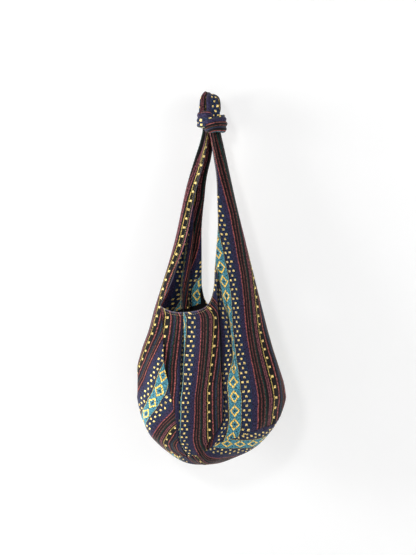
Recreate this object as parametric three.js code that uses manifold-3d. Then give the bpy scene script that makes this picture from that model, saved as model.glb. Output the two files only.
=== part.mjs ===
// Slouching sling bag in woven cotton, hung by a loop in its knotted strap.
// Two congruent outer panels wrap half way round the bag each, and each runs up into one strap.
// A strap is cut in one with its panel, and is a solid of its own so that the gaps beside it stay simple.
// A round base closes the bottom, a lining and two strap facings line it, and the strap top is tied.
// Millimetres, +Z up, -Y the front, +X to the right as the front is seen.
// The origin is where the loop bears on whatever it hangs from.

import * as THREE from "three";
import { mergeVertices } from "three/addons/utils/BufferGeometryUtils.js";
import Module from "manifold-3d";

// Levels, measured down from the hanging point
const KNOT_DROP = 84;
const CORNER_DROP = 500;
const BELLY_DROP = 720;
const BOWL_DEPTH = 162;

// Half sizes of the oval girth under the knot and at the widest level, and how late its depth grows
const NECK_HALF_WIDTH = 23;
const NECK_HALF_DEPTH = 14;
const BELLY_HALF_WIDTH = 176;
const BELLY_HALF_DEPTH = 68;
const DEPTH_GROWTH = 1.25;

// Cloth and fits
const CLOTH = 1.4;
const LINING = 0.8;
const CLEARANCE = 0.3;
const LINING_EASE = 0.6;

// Side seam: its angle at the base, and the drop over which it swings there from the mouth corner
const SEAM_LOW_ANGLE = -118;
const SEAM_SWING = 80;

// Mouth: how far its edge sags below the corners, how far above them it turns into the strap, and its hem
const MOUTH_DIP = 15;
const MOUTH_RISE = 48;
const MOUTH_TURN_ANGLE = 6;
const MOUTH_HEM = 8;

// Strap: angles of its inner edge at the mouth and at the knot, and how far it bows out between them
// Then the angle of its outer edge at the knot, and the rise over which it swings there
const INNER_LOW_ANGLE = -85;
const INNER_TOP_ANGLE = -80;
const INNER_BOW_ANGLE = 8;
const OUTER_TOP_ANGLE = 72;
const OUTER_SWING = 125;

// Base seam: mean and swing of its slope round the bowl, and the side on which it lies lowest
const BASE_SEAM_SLOPE = 33;
const BASE_SEAM_TILT = 25;
const BASE_SEAM_LOW_ANGLE = -130;

// Knot and hanging loop: flat bundles of gathered strap
const BUNDLE_HALF_WIDTH = 18;
const BUNDLE_HALF_THICK = 7;
const LOOP_HALF_GAP = 7;
const LOOP_LENGTH = 38;
const WRAP_REACH = 26;
const WRAP_STAGGER = 10;

// Facets, with how far the mouth columns crowd towards the strap
const MOUTH_COLUMNS = 9;
const MOUTH_CROWDING = 1.6;
const STRAP_COLUMNS = 12;
const BODY_ROWS = 8;
const STRAP_ROWS = 9;
const BASE_RINGS = 7;
const BUNDLE_SIDES = 10;
const BUNDLE_STEPS = 12;

// Colours
const WEAVE_COLOUR = 0x3a3442;
const FACING_COLOUR = 0x453f4c;
const LINING_COLOUR = 0x141216;

const HALF_TURN = 180;
const { lerp, degToRad, radToDeg } = THREE.MathUtils;
const wasm = await Module();
wasm.setup();

function steps(count, make) {
  return Array.from({ length: count + 1 }, (_, step) => make(step / count, step));
}

// The bag's girth is an oval that widens from the knot to the belly, then closes in a bowl.
// An angle of 0 is the right side, -90 the front and 90 the back.
// A height below the belly counts along the bowl's meridian, and inset shrinks the whole form.
function bagPoint(angle, height, inset) {
  const turn = degToRad(angle);
  const fall = Math.max(0, -BELLY_DROP - height) / BOWL_DEPTH;
  const level = Math.max(height, -BELLY_DROP);
  const share = (-KNOT_DROP - level) / (BELLY_DROP - KNOT_DROP);
  const width = lerp(NECK_HALF_WIDTH, BELLY_HALF_WIDTH, share) - inset;
  const depth = lerp(NECK_HALF_DEPTH, BELLY_HALF_DEPTH, share ** DEPTH_GROWTH) - inset;
  return new THREE.Vector3(
    width * Math.cos(fall) * Math.cos(turn),
    depth * Math.cos(fall) * Math.sin(turn),
    level - (BOWL_DEPTH - inset) * Math.sin(fall),
  );
}

// Half the clearance of a seam, as an angle of the girth
const SEAM_GAP_ANGLE = radToDeg(CLEARANCE / BELLY_HALF_DEPTH);

// Angle of the side seam at the front left; the other side seam lies half a turn on
function seamAngle(height) {
  const swing = Math.exp(Math.min(0, height + CORNER_DROP) / SEAM_SWING);
  return lerp(SEAM_LOW_ANGLE, -HALF_TURN, swing);
}

// Height of the seam round the base, which hangs lowest at the front left
function baseSeamHeight(angle) {
  const swing = Math.cos(degToRad(angle - BASE_SEAM_LOW_ANGLE));
  return -BELLY_DROP - BOWL_DEPTH * degToRad(BASE_SEAM_SLOPE + BASE_SEAM_TILT * swing);
}

// Height of a panel's top: its mouth edge, which sags and then turns up, then the foot of its strap
function panelTop(angle) {
  if (angle > INNER_LOW_ANGLE) {
    return -CORNER_DROP + MOUTH_RISE * Math.max(0, angle / INNER_LOW_ANGLE);
  }
  const along = (angle + HALF_TURN) / (INNER_LOW_ANGLE + HALF_TURN);
  const turnUp = Math.exp((angle - INNER_LOW_ANGLE) / MOUTH_TURN_ANGLE);
  return -CORNER_DROP - MOUTH_DIP * Math.sin(Math.PI * along) + MOUTH_RISE * turnUp;
}

function strapInnerAngle(share) {
  return lerp(INNER_LOW_ANGLE, INNER_TOP_ANGLE, share) + INNER_BOW_ANGLE * Math.sin(Math.PI * share);
}

function strapOuterAngle(height) {
  return OUTER_TOP_ANGLE * (1 - Math.exp(-(height + CORNER_DROP) / OUTER_SWING));
}

// Angles of one row: the mouth columns close up towards the strap, and the strap columns are even
function rowAngles(left, middle, right) {
  const mouth = steps(MOUTH_COLUMNS, (share) => lerp(middle, left, (1 - share) ** MOUTH_CROWDING));
  const strap = steps(STRAP_COLUMNS, (share) => lerp(middle, right, share));
  return mouth.concat(strap.slice(1));
}

// Rows of a panel's body, from the base seam to a hem's width below its top, and then the top itself
function bodyRows(side) {
  const lows = rowAngles(SEAM_LOW_ANGLE, INNER_LOW_ANGLE, SEAM_LOW_ANGLE + HALF_TURN).map((angle) => {
    return baseSeamHeight(side + angle) + CLEARANCE / 2;
  });
  const tops = rowAngles(-HALF_TURN, INNER_LOW_ANGLE, 0).map(panelTop);
  const row = (share, hem) => {
    const heights = lows.map((low, column) => lerp(low, tops[column] - hem, share));
    const left = seamAngle(heights[0]) + SEAM_GAP_ANGLE;
    const right = seamAngle(heights.at(-1)) + HALF_TURN - SEAM_GAP_ANGLE;
    const angles = rowAngles(left, INNER_LOW_ANGLE, right);
    return angles.map((angle, column) => new THREE.Vector2(angle, heights[column]));
  };
  return [...steps(BODY_ROWS, (share) => row(share, MOUTH_HEM)), row(1, 0)];
}

// Rows of a strap, from the top of its panel's body to the knot
function strapRows() {
  const foot = steps(STRAP_COLUMNS, (across) => panelTop(lerp(INNER_LOW_ANGLE, 0, across)) + CLEARANCE);
  return steps(STRAP_ROWS, (share) => {
    const inner = strapInnerAngle(share);
    const outer = strapOuterAngle(lerp(foot[STRAP_COLUMNS], -KNOT_DROP, share)) - SEAM_GAP_ANGLE;
    return foot.map((low, column) => {
      const angle = lerp(inner, outer, column / STRAP_COLUMNS);
      return new THREE.Vector2(angle, lerp(low, -KNOT_DROP, share));
    });
  });
}

// A cloth solid from rows of angle and height on the bag's form, closed along its four edges
function clothSolid(rows, side, inset, thickness) {
  const points = [];
  const place = (depth) => rows.map((row) => row.map((spot) => {
    return points.push(bagPoint(side + spot.x, spot.y, depth)) - 1;
  }));
  const outer = place(inset);
  const inner = place(inset + thickness);
  const faces = [];
  const addFace = (a, b, c, d) => faces.push(a, b, c, a, c, d);
  const lastRow = rows.length - 1;
  const lastColumn = rows[0].length - 1;
  for (let row = 0; row < lastRow; row += 1) {
    for (let column = 0; column < lastColumn; column += 1) {
      const next = column + 1;
      addFace(outer[row][column], outer[row][next], outer[row + 1][next], outer[row + 1][column]);
      addFace(inner[row][column], inner[row + 1][column], inner[row + 1][next], inner[row][next]);
    }
  }
  const addRim = ([row, column], [nextRow, nextColumn]) => {
    const from = [outer[row][column], inner[row][column]];
    const to = [inner[nextRow][nextColumn], outer[nextRow][nextColumn]];
    addFace(...from, ...to);
  };
  for (let row = 0; row < lastRow; row += 1) {
    addRim([row + 1, 0], [row, 0]);
    addRim([row, lastColumn], [row + 1, lastColumn]);
  }
  for (let column = 0; column < lastColumn; column += 1) {
    addRim([0, column], [0, column + 1]);
    addRim([lastRow, column + 1], [lastRow, column]);
  }
  const geometry = new THREE.BufferGeometry().setFromPoints(points);
  geometry.setIndex(faces);
  return geometry;
}

// The round base below its seam, from its outer pole up to the seam and back down inside
function baseSolid(inset, thickness) {
  const seam = [0, HALF_TURN].flatMap((side) => {
    return bodyRows(side)[0].slice(1).map((spot) => new THREE.Vector2(side + spot.x, spot.y - CLEARANCE));
  });
  const pole = -BELLY_DROP - (BOWL_DEPTH * Math.PI) / 2;
  const ring = (share, depth) => seam.map((spot) => bagPoint(spot.x, lerp(pole, spot.y, share), depth));
  const shares = steps(BASE_RINGS, (share) => share).slice(1);
  const rings = [
    ...shares.map((share) => ring(share, inset)),
    ...shares.map((share) => ring(share, inset + thickness)).reverse(),
  ];
  const points = rings.flat();
  const poleOut = points.push(bagPoint(0, pole, inset)) - 1;
  const poleIn = points.push(bagPoint(0, pole, inset + thickness)) - 1;
  const count = seam.length;
  const faces = [];
  for (let side = 0; side < count; side += 1) {
    const next = (side + 1) % count;
    for (let low = 0; low + count < poleOut; low += count) {
      const [a, b, c, d] = [low + side, low + next, low + count + next, low + count + side];
      const across = points[a].distanceTo(points[c]) < points[b].distanceTo(points[d]);
      faces.push(...(across ? [a, b, c, a, c, d] : [a, b, d, b, c, d]));
    }
    faces.push(poleOut, next, side, poleIn, poleOut - count + side, poleOut - count + next);
  }
  const geometry = new THREE.BufferGeometry().setFromPoints(points);
  geometry.setIndex(faces);
  return geometry;
}

function panelSolid(side) {
  return clothSolid(bodyRows(side), side, 0, CLOTH);
}

function strapSolid(side) {
  return clothSolid(strapRows(), side, 0, CLOTH);
}

// A facing stands back from the strap's two edges by one column
function facingSolid(side) {
  const rows = strapRows().map((row) => row.slice(1, -1));
  return clothSolid(rows, side, CLOTH + CLEARANCE, CLOTH);
}

// A lining ends a hem's width below the mouth edge
function liningSolid(side) {
  return clothSolid(bodyRows(side).slice(0, -1), side, CLOTH + LINING_EASE, LINING);
}

// A flat bundle of strap swept along a path, with its half sizes on the two axes of the path's frames
function bundle(points, halfWidth, halfThick) {
  const section = new THREE.Shape().absellipse(0, 0, halfWidth, halfThick, 0, 2 * Math.PI);
  const geometry = new THREE.ExtrudeGeometry(section, {
    extrudePath: new THREE.CatmullRomCurve3(points.map((point) => new THREE.Vector3(...point))),
    steps: BUNDLE_STEPS,
    curveSegments: BUNDLE_SIDES,
  });
  return toManifold(geometry);
}

function toManifold(geometry) {
  const bare = geometry.clone();
  bare.deleteAttribute("normal");
  bare.deleteAttribute("uv");
  const merged = mergeVertices(bare, 1e-4);
  return new wasm.Manifold(new wasm.Mesh({
    numProp: 3,
    vertProperties: new Float32Array(merged.attributes.position.array),
    triVerts: new Uint32Array(merged.index.array),
  }));
}

function fromManifold(solid) {
  const mesh = solid.getMesh();
  const geometry = new THREE.BufferGeometry();
  geometry.setAttribute("position", new THREE.BufferAttribute(mesh.vertProperties, 3));
  geometry.setIndex(new THREE.BufferAttribute(mesh.triVerts, 1));
  return geometry;
}

// The strap top: a stem out of both straps, an overhand turn round it left and right, and the hanging loop
function knotSolid() {
  const stemFoot = -KNOT_DROP + CLEARANCE;
  const rightLevel = -KNOT_DROP + BUNDLE_HALF_WIDTH;
  const leftLevel = rightLevel + WRAP_STAGGER;
  const limb = LOOP_HALF_GAP + BUNDLE_HALF_THICK;
  const ply = 2 * BUNDLE_HALF_THICK;
  const stem = bundle([
    [0, 0, stemFoot],
    [0, 0, (stemFoot + leftLevel) / 2],
    [0, 0, leftLevel],
  ], NECK_HALF_DEPTH, NECK_HALF_WIDTH);
  const leftWrap = bundle([
    [0.3 * WRAP_REACH, 0.9 * ply, leftLevel],
    [-0.6 * WRAP_REACH, ply, leftLevel],
    [-WRAP_REACH, 0, leftLevel],
    [-0.7 * WRAP_REACH, -0.9 * ply, leftLevel],
    [0, -1.1 * ply, leftLevel - 0.2 * WRAP_STAGGER],
    [0.5 * WRAP_REACH, -0.7 * ply, leftLevel - 0.4 * WRAP_STAGGER],
  ], BUNDLE_HALF_WIDTH, BUNDLE_HALF_THICK);
  const rightWrap = bundle([
    [-0.3 * WRAP_REACH, 0.8 * ply, leftLevel],
    [0.7 * WRAP_REACH, ply, leftLevel],
    [1.2 * WRAP_REACH, 0, leftLevel - 0.5 * WRAP_STAGGER],
    [WRAP_REACH, -0.9 * ply, leftLevel - 0.8 * WRAP_STAGGER],
    [0.35 * WRAP_REACH, -1.3 * ply, rightLevel],
    [-0.25 * WRAP_REACH, -0.9 * ply, rightLevel],
  ], BUNDLE_HALF_WIDTH, BUNDLE_HALF_THICK);
  const loop = bundle([
    [0, -LOOP_HALF_GAP, leftLevel],
    [0, -limb, -0.7 * LOOP_LENGTH],
    [0, -0.8 * limb, -0.1 * LOOP_LENGTH],
    [0, 0, BUNDLE_HALF_THICK],
    [0, 0.8 * limb, -0.1 * LOOP_LENGTH],
    [0, limb, -0.7 * LOOP_LENGTH],
    [0, LOOP_HALF_GAP, leftLevel],
  ], BUNDLE_HALF_WIDTH, BUNDLE_HALF_THICK);
  return fromManifold(stem.add(leftWrap).add(rightWrap).add(loop));
}

function cloth(name, geometry, colour, roughness) {
  geometry.computeVertexNormals();
  const finish = new THREE.MeshStandardMaterial({ color: colour, roughness, metalness: 0 });
  const mesh = new THREE.Mesh(geometry, finish);
  mesh.name = name;
  return mesh;
}

const bag = new THREE.Group();
bag.name = "sling_bag";
bag.add(cloth("front_panel", panelSolid(0), WEAVE_COLOUR, 0.9));
bag.add(cloth("back_panel", panelSolid(HALF_TURN), WEAVE_COLOUR, 0.9));
bag.add(cloth("right_strap", strapSolid(0), WEAVE_COLOUR, 0.9));
bag.add(cloth("left_strap", strapSolid(HALF_TURN), WEAVE_COLOUR, 0.9));
bag.add(cloth("base_panel", baseSolid(0, CLOTH), WEAVE_COLOUR, 0.9));
bag.add(cloth("right_strap_facing", facingSolid(0), FACING_COLOUR, 0.9));
bag.add(cloth("left_strap_facing", facingSolid(HALF_TURN), FACING_COLOUR, 0.9));
bag.add(cloth("front_lining", liningSolid(0), LINING_COLOUR, 0.85));
bag.add(cloth("back_lining", liningSolid(HALF_TURN), LINING_COLOUR, 0.85));
bag.add(cloth("base_lining", baseSolid(CLOTH + LINING_EASE, LINING), LINING_COLOUR, 0.85));
bag.add(cloth("strap_knot", knotSolid(), WEAVE_COLOUR, 0.9));

export default bag;
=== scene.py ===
"""Looks of a slouching woven sling bag that hangs by a loop in its knotted strap.

Two outer panels wrap half way round the bag each and run up into one strap each. All lengths are metres,
+Z is up, -Y is the front, and the hanging point is the origin.
"""

import logging
import math
from collections.abc import Callable
from dataclasses import dataclass, field
from enum import Enum

import bpy
import numpy as np
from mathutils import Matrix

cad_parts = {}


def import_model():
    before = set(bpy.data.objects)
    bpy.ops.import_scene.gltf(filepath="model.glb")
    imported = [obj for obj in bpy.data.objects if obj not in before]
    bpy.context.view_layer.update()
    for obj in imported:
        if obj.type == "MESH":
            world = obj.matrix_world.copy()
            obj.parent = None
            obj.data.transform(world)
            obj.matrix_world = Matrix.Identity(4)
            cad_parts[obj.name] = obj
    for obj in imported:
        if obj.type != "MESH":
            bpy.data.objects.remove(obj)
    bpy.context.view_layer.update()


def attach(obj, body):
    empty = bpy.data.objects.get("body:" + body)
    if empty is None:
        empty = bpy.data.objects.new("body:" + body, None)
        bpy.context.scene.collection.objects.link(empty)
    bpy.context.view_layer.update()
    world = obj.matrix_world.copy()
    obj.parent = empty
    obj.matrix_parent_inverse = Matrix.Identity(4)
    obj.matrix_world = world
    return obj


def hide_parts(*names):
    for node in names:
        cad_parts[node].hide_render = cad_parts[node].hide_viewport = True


LOG = logging.getLogger("sling_bag")
BODY = "root"
UV_NAME = "cloth"
HEM_NAME = "hem"
MILLIMETRES = 1000.0
TINY = 1e-12
MERGE_DISTANCE = 1e-6
SMOOTH_ANGLE = 60.0
FRONT_ANGLE = -90.0

Array = np.ndarray
Stops = tuple[tuple[float, float], ...]
Colour = tuple[float, float, float]
Place = tuple[float, float, float]
Span = tuple[float, float]
Material = bpy.types.Material
Piece = bpy.types.Object
Socket = bpy.types.NodeSocket
Value = Socket | Colour | float


class Side(Enum):
    """The side of the bag that a panel covers, as its turn round the bag in degrees."""

    FRONT = 0.0
    BACK = 180.0


class Slot(Enum):
    """Material slots of the bag."""

    WEAVE = "outer_weave"
    FACING = "strap_facing"
    LINING = "lining"


class Hold(Enum):
    """How a sheet of cloth is held."""

    HUNG = "hung"
    GATHERED = "gathered"


def ease(value: Array | float, low: float, high: float) -> Array | float:
    """Rise smoothly from 0 to 1.

    Args:
        value: Where to read the rise.
        low: Value at which the rise starts.
        high: Value at which it ends; it may be below low.

    Returns:
        The share, 0 to 1.
    """
    share = np.clip((value - low) / (high - low), 0.0, 1.0)
    return share * share * (3.0 - 2.0 * share)


def mix(low: Array | float, high: Array | float, share: Array | float) -> Array | float:
    """Return the value a share of the way from low to high."""
    return low + (high - low) * share


def soft_curve(at: Array | float, stops: Stops) -> Array:
    """Read a smooth curve through stops.

    Args:
        at: Places to read.
        stops: Pairs of place and value, in rising order of place.

    Returns:
        The values, held level beyond the first and last stop.
    """
    places, values = np.array(stops, float).T
    slopes = np.gradient(values, places)
    spot = np.clip(np.asarray(at, float), places[0], places[-1])
    low = np.clip(np.searchsorted(places, spot) - 1, 0, len(places) - 2)
    span = places[low + 1] - places[low]
    t = (spot - places[low]) / span
    start = (1 + 2 * t) * (1 - t) ** 2 * values[low] + t * (1 - t) ** 2 * span * slopes[low]
    end = t * t * (3 - 2 * t) * values[low + 1] + t * t * (t - 1) * span * slopes[low + 1]
    return start + end


def unit(vectors: Array) -> Array:
    """Return vectors at length 1 along their last axis."""
    return vectors / np.maximum(np.linalg.norm(vectors, axis=-1, keepdims=True), TINY)


def run_length(points: Array) -> Array:
    """Return the length along a line of points, up to each of them."""
    steps = np.linalg.norm(np.diff(points, axis=0), axis=1)
    return np.concatenate([[0.0], np.cumsum(steps)])


def srgb(red: int, green: int, blue: int) -> Colour:
    """Turn screen values from 0 to 255 into linear colour."""
    scaled = [channel / 255.0 for channel in (red, green, blue)]
    return tuple(c / 12.92 if c <= 0.04045 else ((c + 0.055) / 1.055) ** 2.4 for c in scaled)


class Graph:
    """A material's shader nodes, wired by short calls."""

    specular: float = 0.2
    sheen_roughness: float = 0.5
    relief_strength: float = 0.6

    def __init__(self, name: str) -> None:
        """Start an empty node tree for a new material.

        Args:
            name: The material's name.
        """
        self.material = bpy.data.materials.new(name)
        self.material.use_nodes = True
        self.nodes = self.material.node_tree.nodes
        self.links = self.material.node_tree.links
        self.nodes.clear()

    def add(self, kind: str, **settings: str) -> bpy.types.Node:
        """Add a node.

        Args:
            kind: The node's type name.
            **settings: Properties to set on it.

        Returns:
            The node.
        """
        node = self.nodes.new(kind)
        for key, value in settings.items():
            setattr(node, key, value)
        return node

    def feed(self, socket: Socket, value: Value) -> None:
        """Link or set a socket.

        Args:
            socket: The input to feed.
            value: An output socket to link, or a constant to set.
        """
        if isinstance(value, Socket):
            self.links.new(value, socket)
        else:
            socket.default_value = value

    def math(self, operation: str, *values: Value) -> Socket:
        """Add a math node.

        Args:
            operation: What it works out.
            *values: What it is fed with.

        Returns:
            Its output.
        """
        node = self.add("ShaderNodeMath", operation=operation)
        for socket, value in zip(node.inputs, values):
            self.feed(socket, value)
        return node.outputs[0]

    def below(self, value: Socket, limit: float) -> Socket:
        """Return 1 where the value is under the limit and 0 elsewhere."""
        return self.math("LESS_THAN", value, limit)

    def off_centre(self, value: Socket, pitch: float, shift: float = 0.0) -> Socket:
        """Measure the distance to the nearest of evenly spaced marks.

        Args:
            value: A length.
            pitch: Spacing of the marks.
            shift: Place of one mark.

        Returns:
            The signed distance.
        """
        turns = self.math("DIVIDE", self.math("ADD", value, 0.5 * pitch - shift), pitch)
        inside = self.math("SUBTRACT", self.math("FRACT", turns), 0.5)
        return self.math("MULTIPLY", inside, pitch)

    def blend(self, share: Value, low: Value, high: Value, mode: str = "MIX") -> Socket:
        """Mix two colours.

        Args:
            share: How much of the second colour shows.
            low: First colour, or its socket.
            high: Second colour, or its socket.
            mode: Blend type.

        Returns:
            The mixed colour's socket.
        """
        node = self.add("ShaderNodeMix", data_type="RGBA", blend_type=mode)
        for socket, value in zip((node.inputs[0], node.inputs[6], node.inputs[7]), (share, low, high)):
            is_colour = isinstance(value, tuple)
            self.feed(socket, (*value, 1.0) if is_colour else value)
        return node.outputs[2]

    def noise(self, vector: Socket, scale: float, detail: float = 2.0) -> Socket:
        """Add noise.

        Args:
            vector: Where it is read.
            scale: How fine it is.
            detail: How many finer layers it has.

        Returns:
            Its value, from 0 to 1.
        """
        node = self.add("ShaderNodeTexNoise")
        node.inputs["Scale"].default_value = scale
        node.inputs["Detail"].default_value = detail
        self.feed(node.inputs["Vector"], vector)
        return node.outputs["Fac"]

    def finish(self, colour: Socket, roughness: Value, sheen: float, bump: Socket) -> Material:
        """Close the tree with a cloth shader.

        Args:
            colour: Socket of the base colour.
            roughness: Surface roughness or its socket.
            sheen: Weight of the fibre sheen.
            bump: Height of the relief, in metres.

        Returns:
            The material.
        """
        shader = self.add("ShaderNodeBsdfPrincipled")
        self.feed(shader.inputs["Base Color"], colour)
        self.feed(shader.inputs["Roughness"], roughness)
        shader.inputs["Specular IOR Level"].default_value = self.specular
        shader.inputs["Sheen Weight"].default_value = sheen
        shader.inputs["Sheen Roughness"].default_value = self.sheen_roughness
        relief = self.add("ShaderNodeBump")
        relief.inputs["Strength"].default_value = self.relief_strength
        relief.inputs["Distance"].default_value = 1.0
        self.links.new(bump, relief.inputs["Height"])
        self.links.new(relief.outputs[0], shader.inputs["Normal"])
        output = self.add("ShaderNodeOutputMaterial")
        self.links.new(shader.outputs[0], output.inputs["Surface"])
        return self.material


@dataclass(frozen=True)
class Palette:
    """Yarn colours of the weave."""

    teal: Colour = srgb(70, 131, 147)
    gold: Colour = srgb(244, 206, 98)
    pale: Colour = srgb(242, 212, 132)
    olive: Colour = srgb(176, 152, 82)
    navy: Colour = srgb(30, 42, 70)
    purple: Colour = srgb(41, 35, 64)
    black: Colour = srgb(8, 7, 9)
    pink: Colour = srgb(110, 60, 66)
    brown: Colour = srgb(92, 47, 45)
    red: Colour = srgb(140, 71, 69)
    green: Colour = srgb(20, 50, 44)
    edge: Colour = srgb(150, 146, 164)


@dataclass(frozen=True)
class WeaveFinish:
    """Woven cotton whose bands run along the second axis of the cloth's own map.

    Widths are millimetres from the middle of the diamond band. The height of the ribs is metres.
    """

    name: str
    # Scales the colour; above 1 it paints light onto a copy of the cloth that lies in shade.
    painted_light_gain: float = 1.0
    yarns: Palette = field(default_factory=Palette)
    repeat: float = 167.0
    dot_centre: float = 24.0
    dot_spread: float = 5.4
    dot_half: float = 2.35
    dot_pitch: float = 22.0
    column_centre: float = 88.0
    column_dot_half: float = 2.6
    diamond_half_width: float = 10.6
    diamond_half_length: float = 15.6
    diamond_pitch: float = 34.0
    warp_pitch: float = 1.5
    weft_pitch: float = 1.9
    diamond_core: float = 0.64
    diamond_heart: float = 0.22
    wander: float = 2.2
    wander_scale: float = 90.0
    fleck_scale: float = 420.0
    fleck_share: float = 0.45
    worn_share: float = 0.25
    roughness: float = 0.78
    roughness_spread: float = 0.2
    roughness_scale: float = 160.0
    sheen: float = 0.2
    shade_start: float = -0.85
    shade_least: float = 0.15
    # Painted shade: how much darker the colour gets in the hollows between the ribs.
    rib_painted_shade: float = 0.2
    rib_height: float = 0.00016
    fade: float = 0.3
    fade_scale: float = 14.0
    speck: float = 3.4
    speck_scale: float = 240.0
    speck_squeeze: float = 2.2

    def bands(self) -> list[tuple[float, Colour]]:
        """List the plain bands across one repeat.

        Returns:
            Where each band starts and its yarn.
        """
        yarn = self.yarns
        return [
            (0.0, yarn.teal), (12.4, yarn.olive), (13.4, yarn.black), (14.8, yarn.navy), (35.0, yarn.purple),
            (46.0, yarn.red), (48.4, yarn.black), (53.4, yarn.brown), (56.0, yarn.black), (60.6, yarn.brown),
            (62.8, yarn.green), (65.4, yarn.black), (70.8, yarn.pink), (73.4, yarn.black), (75.0, yarn.pink),
            (78.2, yarn.black), (82.0, yarn.olive), (83.8, yarn.black), (95.4, yarn.red), (98.0, yarn.black),
            (103.4, yarn.purple), (106.0, yarn.green), (108.4, yarn.black), (110.0, yarn.brown),
            (112.6, yarn.black), (117.4, yarn.red), (119.8, yarn.black), (122.0, yarn.purple),
            (132.4, yarn.navy), (152.6, yarn.black), (153.8, yarn.olive), (154.8, yarn.teal),
        ]

    def build(self) -> Material:
        """Make the material.

        Returns:
            The material, which reads the cloth's UV map and its hem attribute.
        """
        graph = Graph(self.name)
        place = graph.add("ShaderNodeUVMap", uv_map=UV_NAME)
        parts = graph.add("ShaderNodeSeparateXYZ")
        graph.links.new(place.outputs[0], parts.inputs[0])
        wander = graph.math("SUBTRACT", graph.noise(place.outputs[0], self.wander_scale), 0.5)
        wander = graph.math("MULTIPLY", wander, self.wander)
        across = graph.math("MULTIPLY_ADD", parts.outputs[0], MILLIMETRES, wander)
        along = graph.math("MULTIPLY_ADD", parts.outputs[1], MILLIMETRES, wander)
        colour = self.figures(graph, across, along, self.ground(graph, across))
        colour = self.yarn_tone_and_painted_light(graph, place.outputs[0], across, along, colour)
        hem = graph.add("ShaderNodeAttribute", attribute_name=HEM_NAME)
        flecks = graph.math("GREATER_THAN", graph.noise(place.outputs[0], self.fleck_scale), 0.5)
        worn = graph.math("MULTIPLY_ADD", flecks, self.fleck_share, self.worn_share)
        colour = graph.blend(graph.math("MULTIPLY", hem.outputs["Fac"], worn), colour, self.yarns.edge)
        uneven = graph.noise(place.outputs[0], self.roughness_scale)
        roughness = graph.math("MULTIPLY_ADD", uneven, self.roughness_spread, self.roughness)
        relief = graph.math("MULTIPLY", self.ribs(graph, across, along), self.rib_height)
        return graph.finish(colour, roughness, self.sheen, relief)

    def ground(self, graph: Graph, across: Socket) -> Socket:
        """Lay the plain bands.

        Args:
            graph: The material's nodes.
            across: Place across the cloth, in millimetres.

        Returns:
            The bands' colour.
        """
        ramp = graph.add("ShaderNodeValToRGB")
        ramp.color_ramp.interpolation = "CONSTANT"
        stops = ramp.color_ramp.elements
        bands = self.bands()
        while len(stops) < len(bands):
            stops.new(1.0)
        for stop, (start, colour) in zip(stops, bands):
            stop.position = start / self.repeat
            stop.color = (*colour, 1.0)
        graph.feed(ramp.inputs[0], graph.math("FRACT", graph.math("DIVIDE", across, self.repeat)))
        return ramp.outputs[0]

    def figures(self, graph: Graph, across: Socket, along: Socket, ground: Socket) -> Socket:
        """Weave the dots and diamonds into the bands.

        Args:
            graph: The material's nodes.
            across: Place across the cloth, in millimetres.
            along: Place along the cloth, in millimetres.
            ground: Colour of the plain bands.

        Returns:
            The colour with its figures.
        """
        middle = graph.math("ABSOLUTE", graph.off_centre(across, self.repeat))
        lane = graph.math("ABSOLUTE", graph.math("SUBTRACT", middle, self.dot_centre))
        twin = graph.math("ABSOLUTE", graph.math("SUBTRACT", lane, self.dot_spread))
        step = graph.math("ABSOLUTE", graph.off_centre(along, self.dot_pitch))
        half_step = graph.math("ABSOLUTE", graph.off_centre(along, self.dot_pitch, 0.5 * self.dot_pitch))
        pairs = graph.below(graph.math("MAXIMUM", twin, step), self.dot_half)
        singles = graph.below(graph.math("MAXIMUM", lane, half_step), self.dot_half)
        column = graph.math("ABSOLUTE", graph.off_centre(across, self.repeat, self.column_centre))
        beads = graph.below(graph.math("MAXIMUM", column, step), self.column_dot_half)
        dots = graph.math("MAXIMUM", graph.math("MAXIMUM", pairs, singles), beads)
        colour = graph.blend(dots, ground, self.yarns.pale)
        length = graph.math("ABSOLUTE", graph.off_centre(along, self.diamond_pitch))
        reach = graph.math(
            "ADD",
            graph.math("DIVIDE", middle, self.diamond_half_width),
            graph.math("DIVIDE", length, self.diamond_half_length),
        )
        yarns = (self.yarns.gold, self.yarns.teal, self.yarns.navy)
        for limit, yarn in zip((1.0, self.diamond_core, self.diamond_heart), yarns):
            colour = graph.blend(graph.below(reach, limit), colour, yarn)
        return colour

    def yarn_tone_and_painted_light(
        self, graph: Graph, place: Socket, across: Socket, along: Socket, colour: Socket
    ) -> Socket:
        """Vary the colour from yarn to yarn and over the cloth, darken it where the weave's ribs sink as
        painted shade in the hollows between yarns, and scale it by the painted light gain.

        Args:
            graph: The material's nodes.
            place: The cloth's map.
            across: Place across the cloth, in millimetres.
            along: Place along the cloth, in millimetres.
            colour: Colour of the figures and bands.

        Returns:
            The varied colour.
        """
        squeezed = graph.add("ShaderNodeVectorMath", operation="MULTIPLY")
        graph.links.new(place, squeezed.inputs[0])
        squeezed.inputs[1].default_value = (self.speck_squeeze, 1.0, 1.0)
        speck = graph.noise(squeezed.outputs[0], self.speck_scale, 0.0)
        level = graph.math("MULTIPLY_ADD", graph.noise(place, self.fade_scale), self.fade, self.shade_start)
        # Painted shade: darker where the ribs' relief sinks, in the hollows between yarns.
        level = graph.math("MULTIPLY_ADD", self.ribs(graph, across, along), self.rib_painted_shade, level)
        level = graph.math("MAXIMUM", graph.math("MULTIPLY_ADD", speck, self.speck, level), self.shade_least)
        # Painted light: the colour is scaled by this copy's gain.
        level = graph.math("MULTIPLY", level, self.painted_light_gain)
        grey = graph.add("ShaderNodeCombineColor")
        for socket in grey.inputs:
            graph.links.new(level, socket)
        return graph.blend(1.0, colour, grey.outputs[0], "MULTIPLY")

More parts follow.
